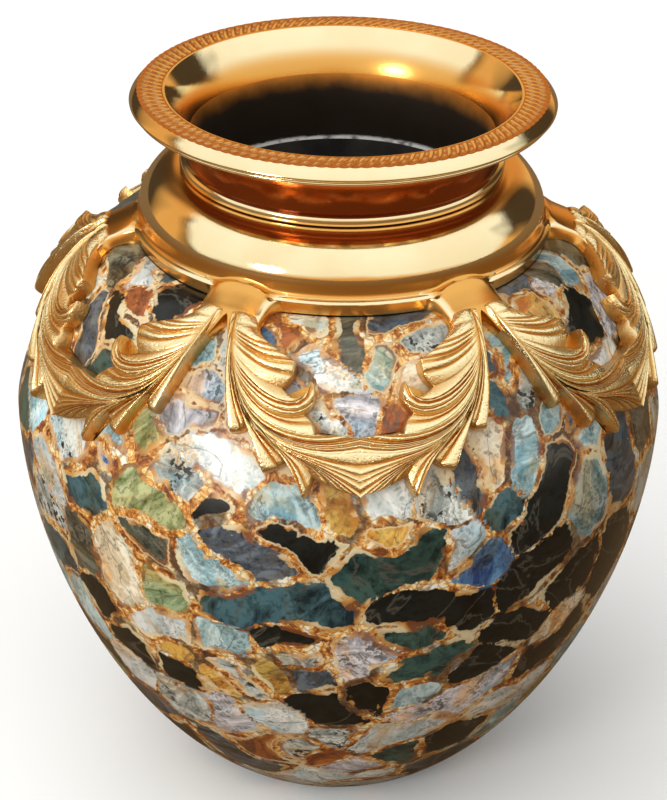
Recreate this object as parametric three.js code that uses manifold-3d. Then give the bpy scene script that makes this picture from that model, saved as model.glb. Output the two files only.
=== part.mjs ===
// Gilt-mounted stone pot: a round vessel faced with fragments of stone, a cast collar with six leaf festoons
// that lie over its shoulder, and a turned neck with a wide rim.
// Millimetres, +Z up, the middle of the underside at the origin, the middle of one festoon towards -Y.
import * as THREE from 'three';
import * as BufferGeometryUtils from 'three/addons/utils/BufferGeometryUtils.js';
import Module from 'manifold-3d';

const wasm = await Module();
wasm.setup();

// Driving sizes of the vessel
const baseRadius = 54;
const bellyRadius = 135;
const bellyHeight = 169;
const shoulderHeight = 243.3;
const vesselWall = 5;
const floorThickness = 6;
const mouthRadius = 60.5;
const mouthLipWall = 4;
const mouthLipStep = 1.6;
const mouthLipHeight = 15.5;

// How the vessel's outline swells: the lean of the wall at the base, and the lengths of its curves' handles
const baseLean = THREE.MathUtils.degToRad(57.8);
const baseHandle = 52;
const bellyHandleBelow = 63;
const bellyHandleAbove = 12;
const shoulderHandle = 29;

// Driving sizes of the collar
const collarSpread = 23.1;
const collarWall = 3.5;
const collarRise = 29;
const collarBulge = 2.6;
const collarLand = 3.4;
const skirtHeight = 6.6;
const skirtLip = 1.4;
const skirtNeck = 4.4;

// Driving sizes of the neck and the rim
const neckTubeWall = 1.9;
const neckHeight = 32;
const footBeadHeight = 4.4;
const footBeadStep = 2;
const upperBeadSpread = 5.5;
const upperBeadHeight = 3.4;
const rimFlare = 11.5;
const rimFlareDepth = 28;
const rimBandWidth = 11.3;
const rimRounding = 2.4;
const rimEdgeHeight = 5.6;
const rimUndercut = 4;

// Driving sizes of the festoons
const festoonCount = 6;
const festoonDrop = 74;
const windowShare = 0.73;
const webReach = 9;
const webCove = 9;
const leafEdgeLift = 5.6;
const leafGrooveLift = 5.9;
const leafRidgeLift = 8.6;
const leafStemLift = 8.2;
const innerBevel = 1.2;
const outerBevel = 2.6;

// Clearances between the pieces
const seatGap = 0.35;
const neckFit = 0.35;
const leafBedding = 0.8;

const turnSegments = 48;
const curveSteps = { lower: 6, upper: 4, innerLower: 4, innerUpper: 3, dome: 3, hollow: 2, flare: 3, cove: 2 };

// Half a festoon, from its root by the collar to its middle. Each place is [across, down], as shares of the
// festoon's half width and of its drop. The leaf grows in pairs of lobes, one towards the window and one away
// from it, each with the notch that follows it. tipAt and notchAt are where their veins leave the stem. Swell
// rounds a lobe's flank outwards and sweep bows the vein to its tip, both as shares of the drop.
const rootRib = { inner: [0.69, 0.014], stem: [0.8, 0.014], outer: [0.91, 0.034] };
const armRib = { inner: [0.768, 0.17], outer: [1.02, 0.216] };
const stemPath = [[0.94, 0.176], [0.981, 0.351], [0.877, 0.534], [0.647, 0.682], [0.303, 0.757], [0, 0.757]];
const lobePairs = [
  {
    tipAt: 0.19,
    notchAt: 0.31,
    inner: { tip: [0.468, 0.338], notch: [0.57, 0.468], swellBefore: 0.004, swellAfter: 0.009, sweep: 0 },
    outer: { tip: [0.99, 0.716], notch: [0.856, 0.642], swellBefore: 0.016, swellAfter: 0.027, sweep: 0 },
  },
  {
    tipAt: 0.41,
    notchAt: 0.52,
    inner: { tip: [0.351, 0.427], notch: [0.409, 0.581], swellBefore: -0.054, swellAfter: 0.036, sweep: 0.068 },
    outer: { tip: [0.731, 0.886], notch: [0.545, 0.808], swellBefore: 0.014, swellAfter: 0.016, sweep: 0 },
  },
  {
    tipAt: 0.655,
    notchAt: 0.815,
    inner: { tip: [0.33, 0.686], notch: [0.188, 0.695], swellBefore: 0.012, swellAfter: -0.004, sweep: 0.014 },
    outer: { tip: [0.428, 1], notch: [0.351, 0.895], swellBefore: 0.005, swellAfter: 0.007, sweep: 0 },
  },
  {
    tipAt: 1,
    inner: { tip: [0, 0.686], swellBefore: 0.003, sweep: 0 },
    outer: { tip: [0, 0.973], swellBefore: 0.011, sweep: 0 },
  },
];

const point = (x, y) => new THREE.Vector2(x, y);

// Radii and heights that follow from the driving sizes
const tubeRadius = mouthRadius + neckTubeWall;
const mouthTop = shoulderHeight + mouthLipHeight;
const shoulderRadius = mouthRadius + collarSpread;
const collarTop = shoulderHeight + collarRise;
const collarHoleRadius = tubeRadius + neckFit;
const collarLandRadius = collarHoleRadius + collarLand;
const collarOuterRadius = shoulderRadius + collarBulge;
const collarInnerRadius = shoulderRadius - collarWall;
const skirtFoot = shoulderHeight + seatGap;
const skirtTop = skirtFoot + skirtHeight;
const domeFoot = skirtTop + skirtLip + skirtNeck;
const neckFoot = collarTop + seatGap;
const tubeFoot = mouthTop + seatGap;
const rimTop = neckFoot + neckHeight;
const rimBandInner = mouthRadius + rimFlare;
const rimBandOuter = rimBandInner + rimBandWidth;
const rimRadius = rimBandOuter + rimRounding;
const sectorAngle = (2 * Math.PI) / festoonCount;

// The vessel

const lowerCurve = new THREE.CubicBezierCurve(
  point(baseRadius, 0),
  point(baseRadius + baseHandle * Math.sin(baseLean), baseHandle * Math.cos(baseLean)),
  point(bellyRadius, bellyHeight - bellyHandleBelow),
  point(bellyRadius, bellyHeight),
);
const upperCurve = new THREE.CubicBezierCurve(
  point(bellyRadius, bellyHeight),
  point(bellyRadius, bellyHeight + bellyHandleAbove),
  point(shoulderRadius + shoulderHandle, shoulderHeight),
  point(shoulderRadius, shoulderHeight),
);

function turned(profile) {
  const geometry = new THREE.LatheGeometry(profile, turnSegments);
  geometry.rotateX(Math.PI / 2);
  return geometry;
}

// The wall's inner face, from the top of a curve to its foot, at the wall's thickness square to the outer one.
function innerFace(curve, steps) {
  const points = [];
  for (let step = steps; step >= 0; step -= 1) {
    const at = curve.getPoint(step / steps);
    const along = curve.getTangent(step / steps);
    points.push(point(at.x - along.y * vesselWall, at.y + along.x * vesselWall));
  }
  return points;
}

function vesselProfile() {
  const lipOuterRadius = mouthRadius + mouthLipWall;
  const lipInnerRadius = mouthRadius - mouthLipStep;
  const innerBelly = innerFace(upperCurve, curveSteps.innerUpper);
  const innerFoot = innerFace(lowerCurve, curveSteps.innerLower);
  const floorEdge = point(innerFoot.pop().x, floorThickness);
  return [
    point(0, 0),
    ...lowerCurve.getPoints(curveSteps.lower),
    ...upperCurve.getPoints(curveSteps.upper).slice(1),
    point(lipOuterRadius, shoulderHeight),
    point(lipOuterRadius, mouthTop),
    point(lipInnerRadius, mouthTop),
    point(lipInnerRadius, shoulderHeight - vesselWall),
    ...innerBelly,
    ...innerFoot.slice(1).filter((at) => at.y > 2 * floorThickness),
    floorEdge,
    point(0, floorThickness),
  ];
}

// The collar's turned part

function domeCurve(inset) {
  const roundness = 0.5;
  const radius = collarOuterRadius - inset;
  const top = collarTop - inset;
  return new THREE.CubicBezierCurve(
    point(collarLandRadius, top),
    point(THREE.MathUtils.lerp(collarLandRadius, radius, roundness), top),
    point(radius, THREE.MathUtils.lerp(domeFoot, top, roundness)),
    point(radius, domeFoot),
  );
}

function collarProfile() {
  return [
    point(shoulderRadius, skirtFoot),
    point(shoulderRadius, skirtTop - skirtLip),
    point(shoulderRadius + skirtLip, skirtTop),
    ...domeCurve(0).getPoints(curveSteps.dome).reverse(),
    point(collarHoleRadius, collarTop),
    point(collarHoleRadius, collarTop - collarWall),
    ...domeCurve(collarWall).getPoints(curveSteps.hollow),
    point(collarInnerRadius, skirtFoot),
    point(shoulderRadius, skirtFoot),
  ];
}

// The neck and the rim

function neckProfile() {
  const footRadius = collarLandRadius - neckFit;
  const coveFoot = point(footRadius - footBeadStep, neckFoot + footBeadHeight);
  const edgeFoot = rimTop - rimEdgeHeight;
  const bead = point(coveFoot.x + upperBeadSpread, edgeFoot - 2 * upperBeadHeight);
  const cove = new THREE.QuadraticBezierCurve(coveFoot, point(coveFoot.x, bead.y - upperBeadHeight), bead);
  const flare = new THREE.CubicBezierCurve(
    point(rimBandInner, rimTop),
    point(rimBandInner - rimFlare / 2, rimTop - rimFlareDepth / 4),
    point(mouthRadius, rimTop - rimFlareDepth / 2),
    point(mouthRadius, rimTop - rimFlareDepth),
  );
  return [
    point(tubeRadius, tubeFoot),
    point(tubeRadius, neckFoot),
    point(footRadius, neckFoot),
    point(footRadius, neckFoot + footBeadHeight / 2),
    ...cove.getPoints(curveSteps.cove),
    point(bead.x, bead.y + upperBeadHeight),
    point(rimRadius - rimUndercut, edgeFoot),
    point(rimRadius, edgeFoot + rimEdgeHeight / 3),
    point(rimRadius, rimTop - rimEdgeHeight / 3),
    point(rimBandOuter, rimTop),
    ...flare.getPoints(curveSteps.flare),
    point(mouthRadius, tubeFoot),
    point(tubeRadius, tubeFoot),
  ];
}

// Places on the stone, measured down from the collar's skirt

const stoneLine = new THREE.CurvePath();
stoneLine.add(new THREE.CubicBezierCurve(upperCurve.v3, upperCurve.v2, upperCurve.v1, upperCurve.v0));
stoneLine.add(new THREE.CubicBezierCurve(lowerCurve.v3, lowerCurve.v2, lowerCurve.v1, lowerCurve.v0));
const stoneLineLength = stoneLine.getLength();

function liftedFromStone(down, lift) {
  const at = stoneLine.getPointAt(down / stoneLineLength);
  const along = stoneLine.getTangentAt(down / stoneLineLength);
  return point(at.x - along.y * lift, at.y + along.x * lift);
}

const festoonHalfWidth = (sectorAngle / 2) * stoneLine.getPointAt(webReach / stoneLineLength).x;

function leafPlace(shares) {
  return point(shares[0] * festoonHalfWidth, shares[1] * festoonDrop);
}

function onStone(middleAngle, place, lift) {
  const lifted = liftedFromStone(place.y, lift);
  const angle = middleAngle + place.x / stoneLine.getPointAt(place.y / stoneLineLength).x;
  return new THREE.Vector3(lifted.x * Math.sin(angle), -lifted.x * Math.cos(angle), lifted.y);
}

// The festoon's ribs

const stem = new THREE.SplineCurve(stemPath.map(leafPlace));

// A place beside the line between two ends, pushed off it to the side away from the stem.
function flank(from, to, swell, stemPlace) {
  const middle = from.clone().lerp(to, 0.5);
  const along = to.clone().sub(from).normalize();
  const side = point(-along.y, along.x);
  const outwards = Math.sign(side.dot(middle.clone().sub(stemPlace)));
  return middle.addScaledVector(side, outwards * swell * festoonDrop);
}

function ribSide(end, root, sweep, bevel) {
  const bow = root.clone().lerp(end, 0.6).add(point(0, sweep * festoonDrop));
  const vein = new THREE.QuadraticBezierCurve(root, bow, end);
  const bevelShare = Math.min(bevel / vein.getLength(), 0.3);
  return { foot: end, edge: vein.getPoint(1 - bevelShare), middle: vein.getPoint(0.5) };
}

function makeRib(innerEnd, outerEnd, root, ridge, innerSweep = 0, outerSweep = 0) {
  return {
    root,
    ridge,
    inner: ribSide(innerEnd, root, innerSweep, innerBevel),
    outer: ribSide(outerEnd, root, outerSweep, outerBevel),
  };
}

function flankRib(from, to, stemAt, swell, sweep) {
  const root = stem.getPointAt(stemAt);
  const innerEnd = flank(from.inner, to.inner, swell.inner, root);
  const outerEnd = flank(from.outer, to.outer, swell.outer, root);
  return makeRib(innerEnd, outerEnd, root, 0.5, sweep.inner / 2, sweep.outer / 2);
}

function halfFestoonRibs() {
  let notch = { inner: leafPlace(armRib.inner), outer: leafPlace(armRib.outer) };
  let notchAt = 0;
  const ribs = [
    makeRib(leafPlace(rootRib.inner), leafPlace(rootRib.outer), leafPlace(rootRib.stem), 0),
    makeRib(notch.inner, notch.outer, stem.getPointAt(notchAt), 0),
  ];
  for (const { tipAt, notchAt: nextNotchAt, inner, outer } of lobePairs) {
    const tip = { inner: leafPlace(inner.tip), outer: leafPlace(outer.tip) };
    const sweep = { inner: inner.sweep, outer: outer.sweep };
    const swellBefore = { inner: inner.swellBefore, outer: outer.swellBefore };
    ribs.push(flankRib(notch, tip, (notchAt + tipAt) / 2, swellBefore, sweep));
    ribs.push(makeRib(tip.inner, tip.outer, stem.getPointAt(tipAt), 1, sweep.inner, sweep.outer));
    if (nextNotchAt !== undefined) {
      const swellAfter = { inner: inner.swellAfter, outer: outer.swellAfter };
      notch = { inner: leafPlace(inner.notch), outer: leafPlace(outer.notch) };
      notchAt = nextNotchAt;
      ribs.push(flankRib(tip, notch, (tipAt + notchAt) / 2, swellAfter, sweep));
      ribs.push(makeRib(notch.inner, notch.outer, stem.getPointAt(notchAt), 0));
    }
  }
  return ribs;
}

// One rib's section: its face from the window's side outwards, and its underside in the same direction.
function ribSection(rib, middleAngle, hand) {
  const { root, inner, outer } = rib;
  const middleLift = THREE.MathUtils.lerp(leafGrooveLift, leafRidgeLift, rib.ridge);
  const place = (at, lift) => onStone(middleAngle, point(hand * at.x, at.y), lift);
  return {
    face: [
      place(inner.edge, leafEdgeLift),
      place(inner.middle, middleLift),
      place(root, leafStemLift),
      place(outer.middle, middleLift),
      place(outer.edge, leafEdgeLift),
    ],
    underside: [inner.foot, inner.middle, root, outer.middle, outer.foot].map((at) => place(at, leafBedding)),
  };
}

// The skin over a row of sections, closed at both ends.
function loft(sections) {
  const width = sections[0].face.length;
  const loopLength = 2 * width;
  const places = sections.flatMap(({ face, underside }) => [...face, ...underside.slice().reverse()]);
  const index = [];
  const lastRow = (sections.length - 1) * loopLength;
  for (let row = 0; row < lastRow; row += loopLength) {
    for (let column = 0; column < loopLength; column += 1) {
      const here = row + column;
      const beside = row + ((column + 1) % loopLength);
      index.push(here, beside + loopLength, here + loopLength);
      index.push(here, beside, beside + loopLength);
    }
  }
  for (let column = 0; column + 1 < width; column += 1) {
    const under = loopLength - 1 - column;
    index.push(under, column + 1, column);
    index.push(under, under - 1, column + 1);
    index.push(lastRow + under, lastRow + column, lastRow + column + 1);
    index.push(lastRow + under, lastRow + column + 1, lastRow + under - 1);
  }
  const geometry = new THREE.BufferGeometry().setFromPoints(places);
  geometry.setIndex(index);
  return geometry;
}

function festoon(middleAngle, ribs) {
  const left = ribs.map((rib) => ribSection(rib, middleAngle, -1));
  const right = ribs.slice(0, -1).map((rib) => ribSection(rib, middleAngle, 1)).reverse();
  return loft([...left, ...right]);
}

// The web: the collar's foot where it runs out over the stone between two windows

function webProfile() {
  const inside = shoulderRadius - collarWall / 2;
  const outerTop = liftedFromStone(webReach, leafEdgeLift);
  const cove = new THREE.QuadraticBezierCurve(
    outerTop,
    point(collarOuterRadius, outerTop.y),
    point(collarOuterRadius - skirtLip, outerTop.y + webCove),
  );
  return [
    point(inside, skirtFoot),
    point(shoulderRadius, skirtFoot),
    liftedFromStone(webReach, leafBedding),
    ...cove.getPoints(curveSteps.cove),
    point(inside, outerTop.y + webCove),
    point(inside, skirtFoot),
  ];
}

function webWedge(angle) {
  const halfAngle = ((1 - windowShare) * sectorAngle) / 2;
  const reach = 2 * bellyRadius;
  const corner = (at) => point(reach * Math.sin(at), -reach * Math.cos(at));
  const sector = new THREE.Shape([point(0, 0), corner(angle - halfAngle), corner(angle + halfAngle)]);
  return new THREE.ExtrudeGeometry(sector, { depth: rimTop, bevelEnabled: false });
}

// The whole casting

function solid(geometry) {
  const bare = geometry.clone();
  bare.deleteAttribute('normal');
  bare.deleteAttribute('uv');
  const merged = BufferGeometryUtils.mergeVertices(bare);
  return new wasm.Manifold(new wasm.Mesh({
    numProp: 3,
    vertProperties: Float32Array.from(merged.attributes.position.array),
    triVerts: Uint32Array.from(merged.index.array),
  }));
}

function collarGeometry() {
  const webRing = solid(turned(webProfile()));
  const ribs = halfFestoonRibs();
  let casting = solid(turned(collarProfile()));
  for (let copy = 0; copy < festoonCount; copy += 1) {
    const middleAngle = copy * sectorAngle;
    const wedge = solid(webWedge(middleAngle + sectorAngle / 2));
    casting = casting.add(webRing.intersect(wedge)).add(solid(festoon(middleAngle, ribs)));
  }
  const mesh = casting.getMesh();
  const geometry = new THREE.BufferGeometry();
  geometry.setAttribute('position', new THREE.BufferAttribute(mesh.vertProperties, 3));
  geometry.setIndex(new THREE.BufferAttribute(mesh.triVerts, 1));
  geometry.computeVertexNormals();
  return geometry;
}

// The pot

function piece(name, geometry, material) {
  const mesh = new THREE.Mesh(geometry, material);
  mesh.name = name;
  return mesh;
}

const stone = new THREE.MeshStandardMaterial({ color: 0x8fa3a0, roughness: 0.3, metalness: 0 });
const castGilt = new THREE.MeshStandardMaterial({ color: 0xd9a441, roughness: 0.32, metalness: 1 });
const turnedGilt = new THREE.MeshStandardMaterial({ color: 0xdc9a3c, roughness: 0.18, metalness: 1 });

const pot = new THREE.Group();
pot.add(piece('stone_vessel', turned(vesselProfile()), stone));
pot.add(piece('festoon_collar', collarGeometry(), castGilt));
pot.add(piece('turned_neck', turned(neckProfile()), turnedGilt));

export default pot;
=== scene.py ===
"""A gilt-mounted stone pot: its mosaic of stone, its cast leaf collar and its turned neck, dressed for render.

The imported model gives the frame: metres, +Z up, the middle of the pot's underside at the origin and the middle
of one festoon towards -Y. Sizes in this file are millimetres, as they are in the part's own drawing, and MM
turns them into metres.
"""

import logging
import math
import random
from collections.abc import Callable
from dataclasses import dataclass
from enum import Enum

import bpy
import numpy as np
from mathutils import Matrix, Vector, noise

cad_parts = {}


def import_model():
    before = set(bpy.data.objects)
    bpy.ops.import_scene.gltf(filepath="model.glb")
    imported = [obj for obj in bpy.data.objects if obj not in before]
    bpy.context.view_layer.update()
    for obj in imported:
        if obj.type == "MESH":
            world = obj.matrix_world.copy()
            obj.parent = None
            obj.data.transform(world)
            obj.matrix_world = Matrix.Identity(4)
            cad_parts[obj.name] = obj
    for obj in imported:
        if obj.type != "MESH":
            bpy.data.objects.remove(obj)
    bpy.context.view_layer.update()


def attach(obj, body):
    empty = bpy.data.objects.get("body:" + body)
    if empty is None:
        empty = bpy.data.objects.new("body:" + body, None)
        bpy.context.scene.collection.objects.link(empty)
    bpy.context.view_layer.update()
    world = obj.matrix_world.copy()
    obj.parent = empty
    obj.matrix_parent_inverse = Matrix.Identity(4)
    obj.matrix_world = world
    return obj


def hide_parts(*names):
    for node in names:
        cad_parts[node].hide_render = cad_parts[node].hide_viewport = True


MM = 0.001
log = logging.getLogger("pot")


# Curves and small sums


def mix(low: float, high: float, share: float) -> float:
    """The value a given share of the way from low to high."""
    return low + (high - low) * share


def smooth(low: float, high: float, value: float) -> float:
    """A smooth step from 0 at low to 1 at high.

    Args:
        low: where the step starts.
        high: where the step ends.
        value: the place to read it at.

    Returns:
        The height of the step, from 0 to 1.
    """
    share = min(max((value - low) / (high - low), 0.0), 1.0)
    return share * share * (3 - 2 * share)


def bezier(ends: tuple, steps: int) -> list:
    """Places along a cubic curve.

    Args:
        ends: the curve's four control points, as vectors.
        steps: how many stretches it is cut into.

    Returns:
        The steps + 1 places, from the first control point to the last.
    """
    first, second, third, last = ends
    places = []
    for step in range(steps + 1):
        share = step / steps
        rest = 1 - share
        places.append(first * rest**3 + second * 3 * rest**2 * share + third * 3 * rest * share**2 + last * share**3)
    return places


class Polyline:
    """A line through places, read by the distance along it."""

    def __init__(self, places: list) -> None:
        """Measures the line.

        Args:
            places: the vectors that it passes.
        """
        self.places = places
        self.lengths = [0.0]
        for before, after in zip(places, places[1:]):
            self.lengths.append(self.lengths[-1] + (after - before).length)

    @property
    def length(self) -> float:
        """The length of the whole line."""
        return self.lengths[-1]

    def at(self, share: float) -> Vector:
        """The place a given share of the way along.

        Args:
            share: from 0 at the start to 1 at the end.

        Returns:
            The place.
        """
        goal = min(max(share, 0.0), 1.0) * self.length
        low, high = 0, len(self.lengths) - 1
        while high - low > 1:
            middle = (low + high) // 2
            if self.lengths[middle] <= goal:
                low = middle
            else:
                high = middle
        run = self.lengths[high] - self.lengths[low]
        return self.places[low].lerp(self.places[high], (goal - self.lengths[low]) / run if run else 0.0)


def spline(places: list, steps: int = 10) -> Polyline:
    """A smooth line through places, by the Catmull-Rom rule.

    Args:
        places: the vectors to pass.
        steps: how many stretches lie between two of them.

    Returns:
        The line.
    """
    padded = [places[0] * 2 - places[1], *places, places[-1] * 2 - places[-2]]
    line = []
    for before, start, end, after in zip(padded, padded[1:], padded[2:], padded[3:]):
        for step in range(steps):
            share = step / steps
            line.append(
                start
                + (end - before) * (0.5 * share)
                + (before * 2 - start * 5 + end * 4 - after) * (0.5 * share**2)
                + (start * 3 - before - end * 3 + after) * (0.5 * share**3)
            )
    return Polyline([*line, places[-1]])


# Modelling by hand


def deselect() -> None:
    """Leaves nothing selected, so that an operator only meets the new piece."""
    bpy.ops.object.select_all(action="DESELECT")


def edit_all(piece: bpy.types.Object) -> None:
    """Opens a piece in edit mode with all of it selected.

    Args:
        piece: the piece to open.
    """
    deselect()
    bpy.context.view_layer.objects.active = piece
    piece.select_set(True)
    bpy.ops.object.mode_set(mode="EDIT")
    bpy.ops.mesh.select_all(action="SELECT")


def close_up(piece: bpy.types.Object, smooth_below: float) -> None:
    """Merges a new skin's seams and poles, turns its faces outwards and sets its shading.

    Args:
        piece: the piece, which may be open in edit mode.
        smooth_below: the angle between faces, in degrees, below which shading runs on smoothly.
    """
    if bpy.context.mode != "EDIT_MESH":
        edit_all(piece)
    bpy.ops.mesh.select_all(action="SELECT")
    bpy.ops.mesh.remove_doubles(threshold=0.00001)
    bpy.ops.mesh.normals_make_consistent(inside=False)
    bpy.ops.object.mode_set(mode="OBJECT")
    bpy.ops.object.shade_smooth_by_angle(angle=math.radians(smooth_below))


def turn(name: str, profile: list, steps: int, smooth_below: float = 32) -> bpy.types.Object:
    """Turns a closed profile about the pot's axis, as on a lathe.

    Args:
        name: the piece's name.
        profile: [radius, height] pairs in millimetres, round the whole section.
        steps: how many stretches a full turn has.
        smooth_below: the angle in degrees below which shading runs on smoothly.

    Returns:
        The turned piece.
    """
    deselect()
    bpy.ops.mesh.primitive_circle_add(vertices=len(profile), radius=MM, fill_type="NOTHING")
    piece = bpy.context.object
    piece.name = name
    for vertex, (radius, height) in zip(piece.data.vertices, profile):
        vertex.co = (0, -radius * MM, height * MM)
    edit_all(piece)
    bpy.ops.mesh.spin(steps=steps, angle=math.tau, center=(0, 0, 0), axis=(0, 0, 1))
    close_up(piece, smooth_below)
    return piece


def mark_painted_shade(piece: bpy.types.Object, rule: Callable[[float, float], float]) -> None:
    """Marks painted shade on each point of a turned piece, from 0 to 1, which pulls the gilt finishes towards their
    deep colour.

    Args:
        piece: the piece.
        rule: gives the painted shade, from 0 to 1, for a radius and a height in millimetres.
    """
    marks = piece.data.attributes.new("painted_shade", "FLOAT", "POINT")
    shade_marks = [rule(vertex.co.xy.length / MM, vertex.co.z / MM) for vertex in piece.data.vertices]
    marks.data.foreach_set("value", shade_marks)


def lay_grid(name: str, rows: list, smooth_below: float = 45, shade_marks: list | None = None) -> bpy.types.Object:
    """Lays a grid over rows of places and closes it where its edges meet.

    Args:
        name: the piece's name.
        rows: rows of vectors in metres, all of one length.
        smooth_below: the angle in degrees below which shading runs on smoothly.
        shade_marks: for each place its painted shade, from 0 to 1, which pulls the gilt finishes towards their deep
            colour.

    Returns:
        The piece.
    """
    deselect()
    bpy.ops.mesh.primitive_grid_add(x_subdivisions=len(rows[0]) - 1, y_subdivisions=len(rows) - 1, size=1)
    piece = bpy.context.object
    piece.name = name
    flat = [value for row in rows for place in row for value in place]
    piece.data.vertices.foreach_set("co", flat)
    if shade_marks:
        marks = piece.data.attributes.new("painted_shade", "FLOAT", "POINT")
        marks.data.foreach_set("value", [value for row in shade_marks for value in row])
    close_up(piece, smooth_below)
    return piece


def cap_ends(rows: list, shade_marks: list, depth: float) -> None:
    """Closes the first and the last row of a grid, each to a point in its middle.

    Args:
        rows: the grid's rows of places, to which a row is added at each end.
        shade_marks: the matching rows of painted shade.
        depth: the painted shade at the two points.
    """
    for end_row, at in ((0, 0), (-1, len(rows) + 1)):
        middle = sum(rows[end_row], Vector((0, 0, 0))) / len(rows[end_row])
        rows.insert(at, [middle.copy() for _ in rows[end_row]])
        shade_marks.insert(at, [depth] * len(rows[end_row]))


def join(name: str, pieces: list) -> bpy.types.Object:
    """Joins pieces into one.

    Args:
        name: the name of the whole.
        pieces: the pieces to join, whose meshes it takes over.

    Returns:
        The whole piece.
    """
    deselect()
    for piece in pieces:
        piece.select_set(True)
    bpy.context.view_layer.objects.active = pieces[0]
    bpy.ops.object.join()
    whole = bpy.context.object
    whole.name = name
    return whole


def copy_round(piece: bpy.types.Object, count: int) -> list:
    """Copies a piece round the pot's axis, each copy with its own mesh.

    Args:
        piece: the piece, which is the first of the ring.
        count: how many the ring holds.

    Returns:
        The ring's pieces, the first one included.
    """
    ring = [piece]
    for place in range(1, count):
        other = piece.copy()
        other.data = piece.data.copy()
        other.data.transform(Matrix.Rotation(place * math.tau / count, 4, "Z"))
        bpy.context.collection.objects.link(other)
        ring.append(other)
    return ring


# Sizes


@dataclass(frozen=True)
class Vessel:
    """The vessel's sizes, in millimetres."""

    base_radius: float = 54.0
    belly_radius: float = 135.0
    belly_height: float = 169.0
    shoulder_height: float = 243.3
    wall: float = 5.0
    floor: float = 6.0
    mouth_radius: float = 60.5
    lip_wall: float = 4.0
    lip_step: float = 1.6
    lip_height: float = 15.5
    base_lean: float = math.radians(57.8)
    base_handle: float = 52.0
    belly_handle_below: float = 63.0
    belly_handle_above: float = 12.0
    shoulder_handle: float = 29.0
    collar_spread: float = 23.1

    @property
    def shoulder_radius(self) -> float:
        """The radius at which the collar's skirt stands on the shoulder."""
        return self.mouth_radius + self.collar_spread

    @property
    def mouth_top(self) -> float:
        """The height of the vessel's own lip, under the neck's tube."""
        return self.shoulder_height + self.lip_height

    def lower_curve(self) -> tuple:
        """The outline from the base up to the belly, as a cubic curve."""
        lean_out = self.base_handle * math.sin(self.base_lean)
        lean_up = self.base_handle * math.cos(self.base_lean)
        return (
            Vector((self.base_radius, 0)),
            Vector((self.base_radius + lean_out, lean_up)),
            Vector((self.belly_radius, self.belly_height - self.belly_handle_below)),
            Vector((self.belly_radius, self.belly_height)),
        )

    def upper_curve(self) -> tuple:
        """The outline from the belly up to the shoulder, as a cubic curve."""
        return (
            Vector((self.belly_radius, self.belly_height)),
            Vector((self.belly_radius, self.belly_height + self.belly_handle_above)),
            Vector((self.shoulder_radius + self.shoulder_handle, self.shoulder_height)),
            Vector((self.shoulder_radius, self.shoulder_height)),
        )


@dataclass(frozen=True)
class Collar:
    """The sizes of the collar's turned part, in millimetres."""

    wall: float = 3.5
    rise: float = 29.0
    bulge: float = -1.0
    land: float = 3.4
    skirt_height: float = 6.6
    skirt_lip: float = 1.4
    skirt_neck: float = 4.4
    seat_gap: float = 0.35
    hole_radius: float = 62.75


@dataclass(frozen=True)
class Neck:
    """The sizes of the neck and the rim, in millimetres."""

    tube_wall: float = 1.9
    height: float = 32.0
    fit: float = 0.35
    foot_bead_height: float = 4.4
    foot_bead_step: float = 2.0
    upper_bead_spread: float = 5.5
    upper_bead_height: float = 3.4
    rim_flare: float = 11.5
    rim_flare_depth: float = 28.0
    rim_band_width: float = 11.3
    rim_rounding: float = 2.4
    rim_slope: float = 3.6
    rim_edge_height: float = 5.6
    rim_undercut: float = 4.0
    strokes: int = 120
    stroke_depth: float = 0.6


class StoneLine:
    """The line down the stone from the collar's skirt, on which the festoons lie."""

    def __init__(self, vessel: Vessel) -> None:
        """Measures the line.

        Args:
            vessel: the vessel that it runs down.
        """
        above = bezier(vessel.upper_curve(), 120)[::-1]
        below = bezier(vessel.lower_curve(), 120)[::-1]
        self.line = Polyline([*above, *below[1:]])

    def lifted(self, down: float, lift: float) -> Vector:
        """A place off the stone.

        Args:
            down: the distance down the stone from the skirt.
            lift: the height above the stone, square to it.

        Returns:
            The place's radius and height.
        """
        step = 0.4
        here = self.line.at(down / self.line.length)
        along = self.line.at((down + step) / self.line.length) - self.line.at((down - step) / self.line.length)
        along.normalize()
        return Vector((here.x - along.y * lift, here.y + along.x * lift))

    def radius(self, down: float) -> float:
        """The radius of the stone a given distance down."""
        return self.line.at(down / self.line.length).x

    def place(self, across: float, down: float, lift: float, middle_angle: float = 0.0) -> Vector:
        """A place above the stone, in the pot's frame.

        Args:
            across: the distance from the middle line, to the right seen from outside.
            down: the distance down the stone from the skirt.
            lift: the height above the stone.
            middle_angle: the angle of the middle line, from -Y towards +X.

        Returns:
            The place in metres.
        """
        lifted = self.lifted(down, lift)
        angle = middle_angle + across / self.radius(max(down, 0.0))
        return Vector((lifted.x * math.sin(angle), -lifted.x * math.cos(angle), lifted.y)) * MM


# The view


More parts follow.
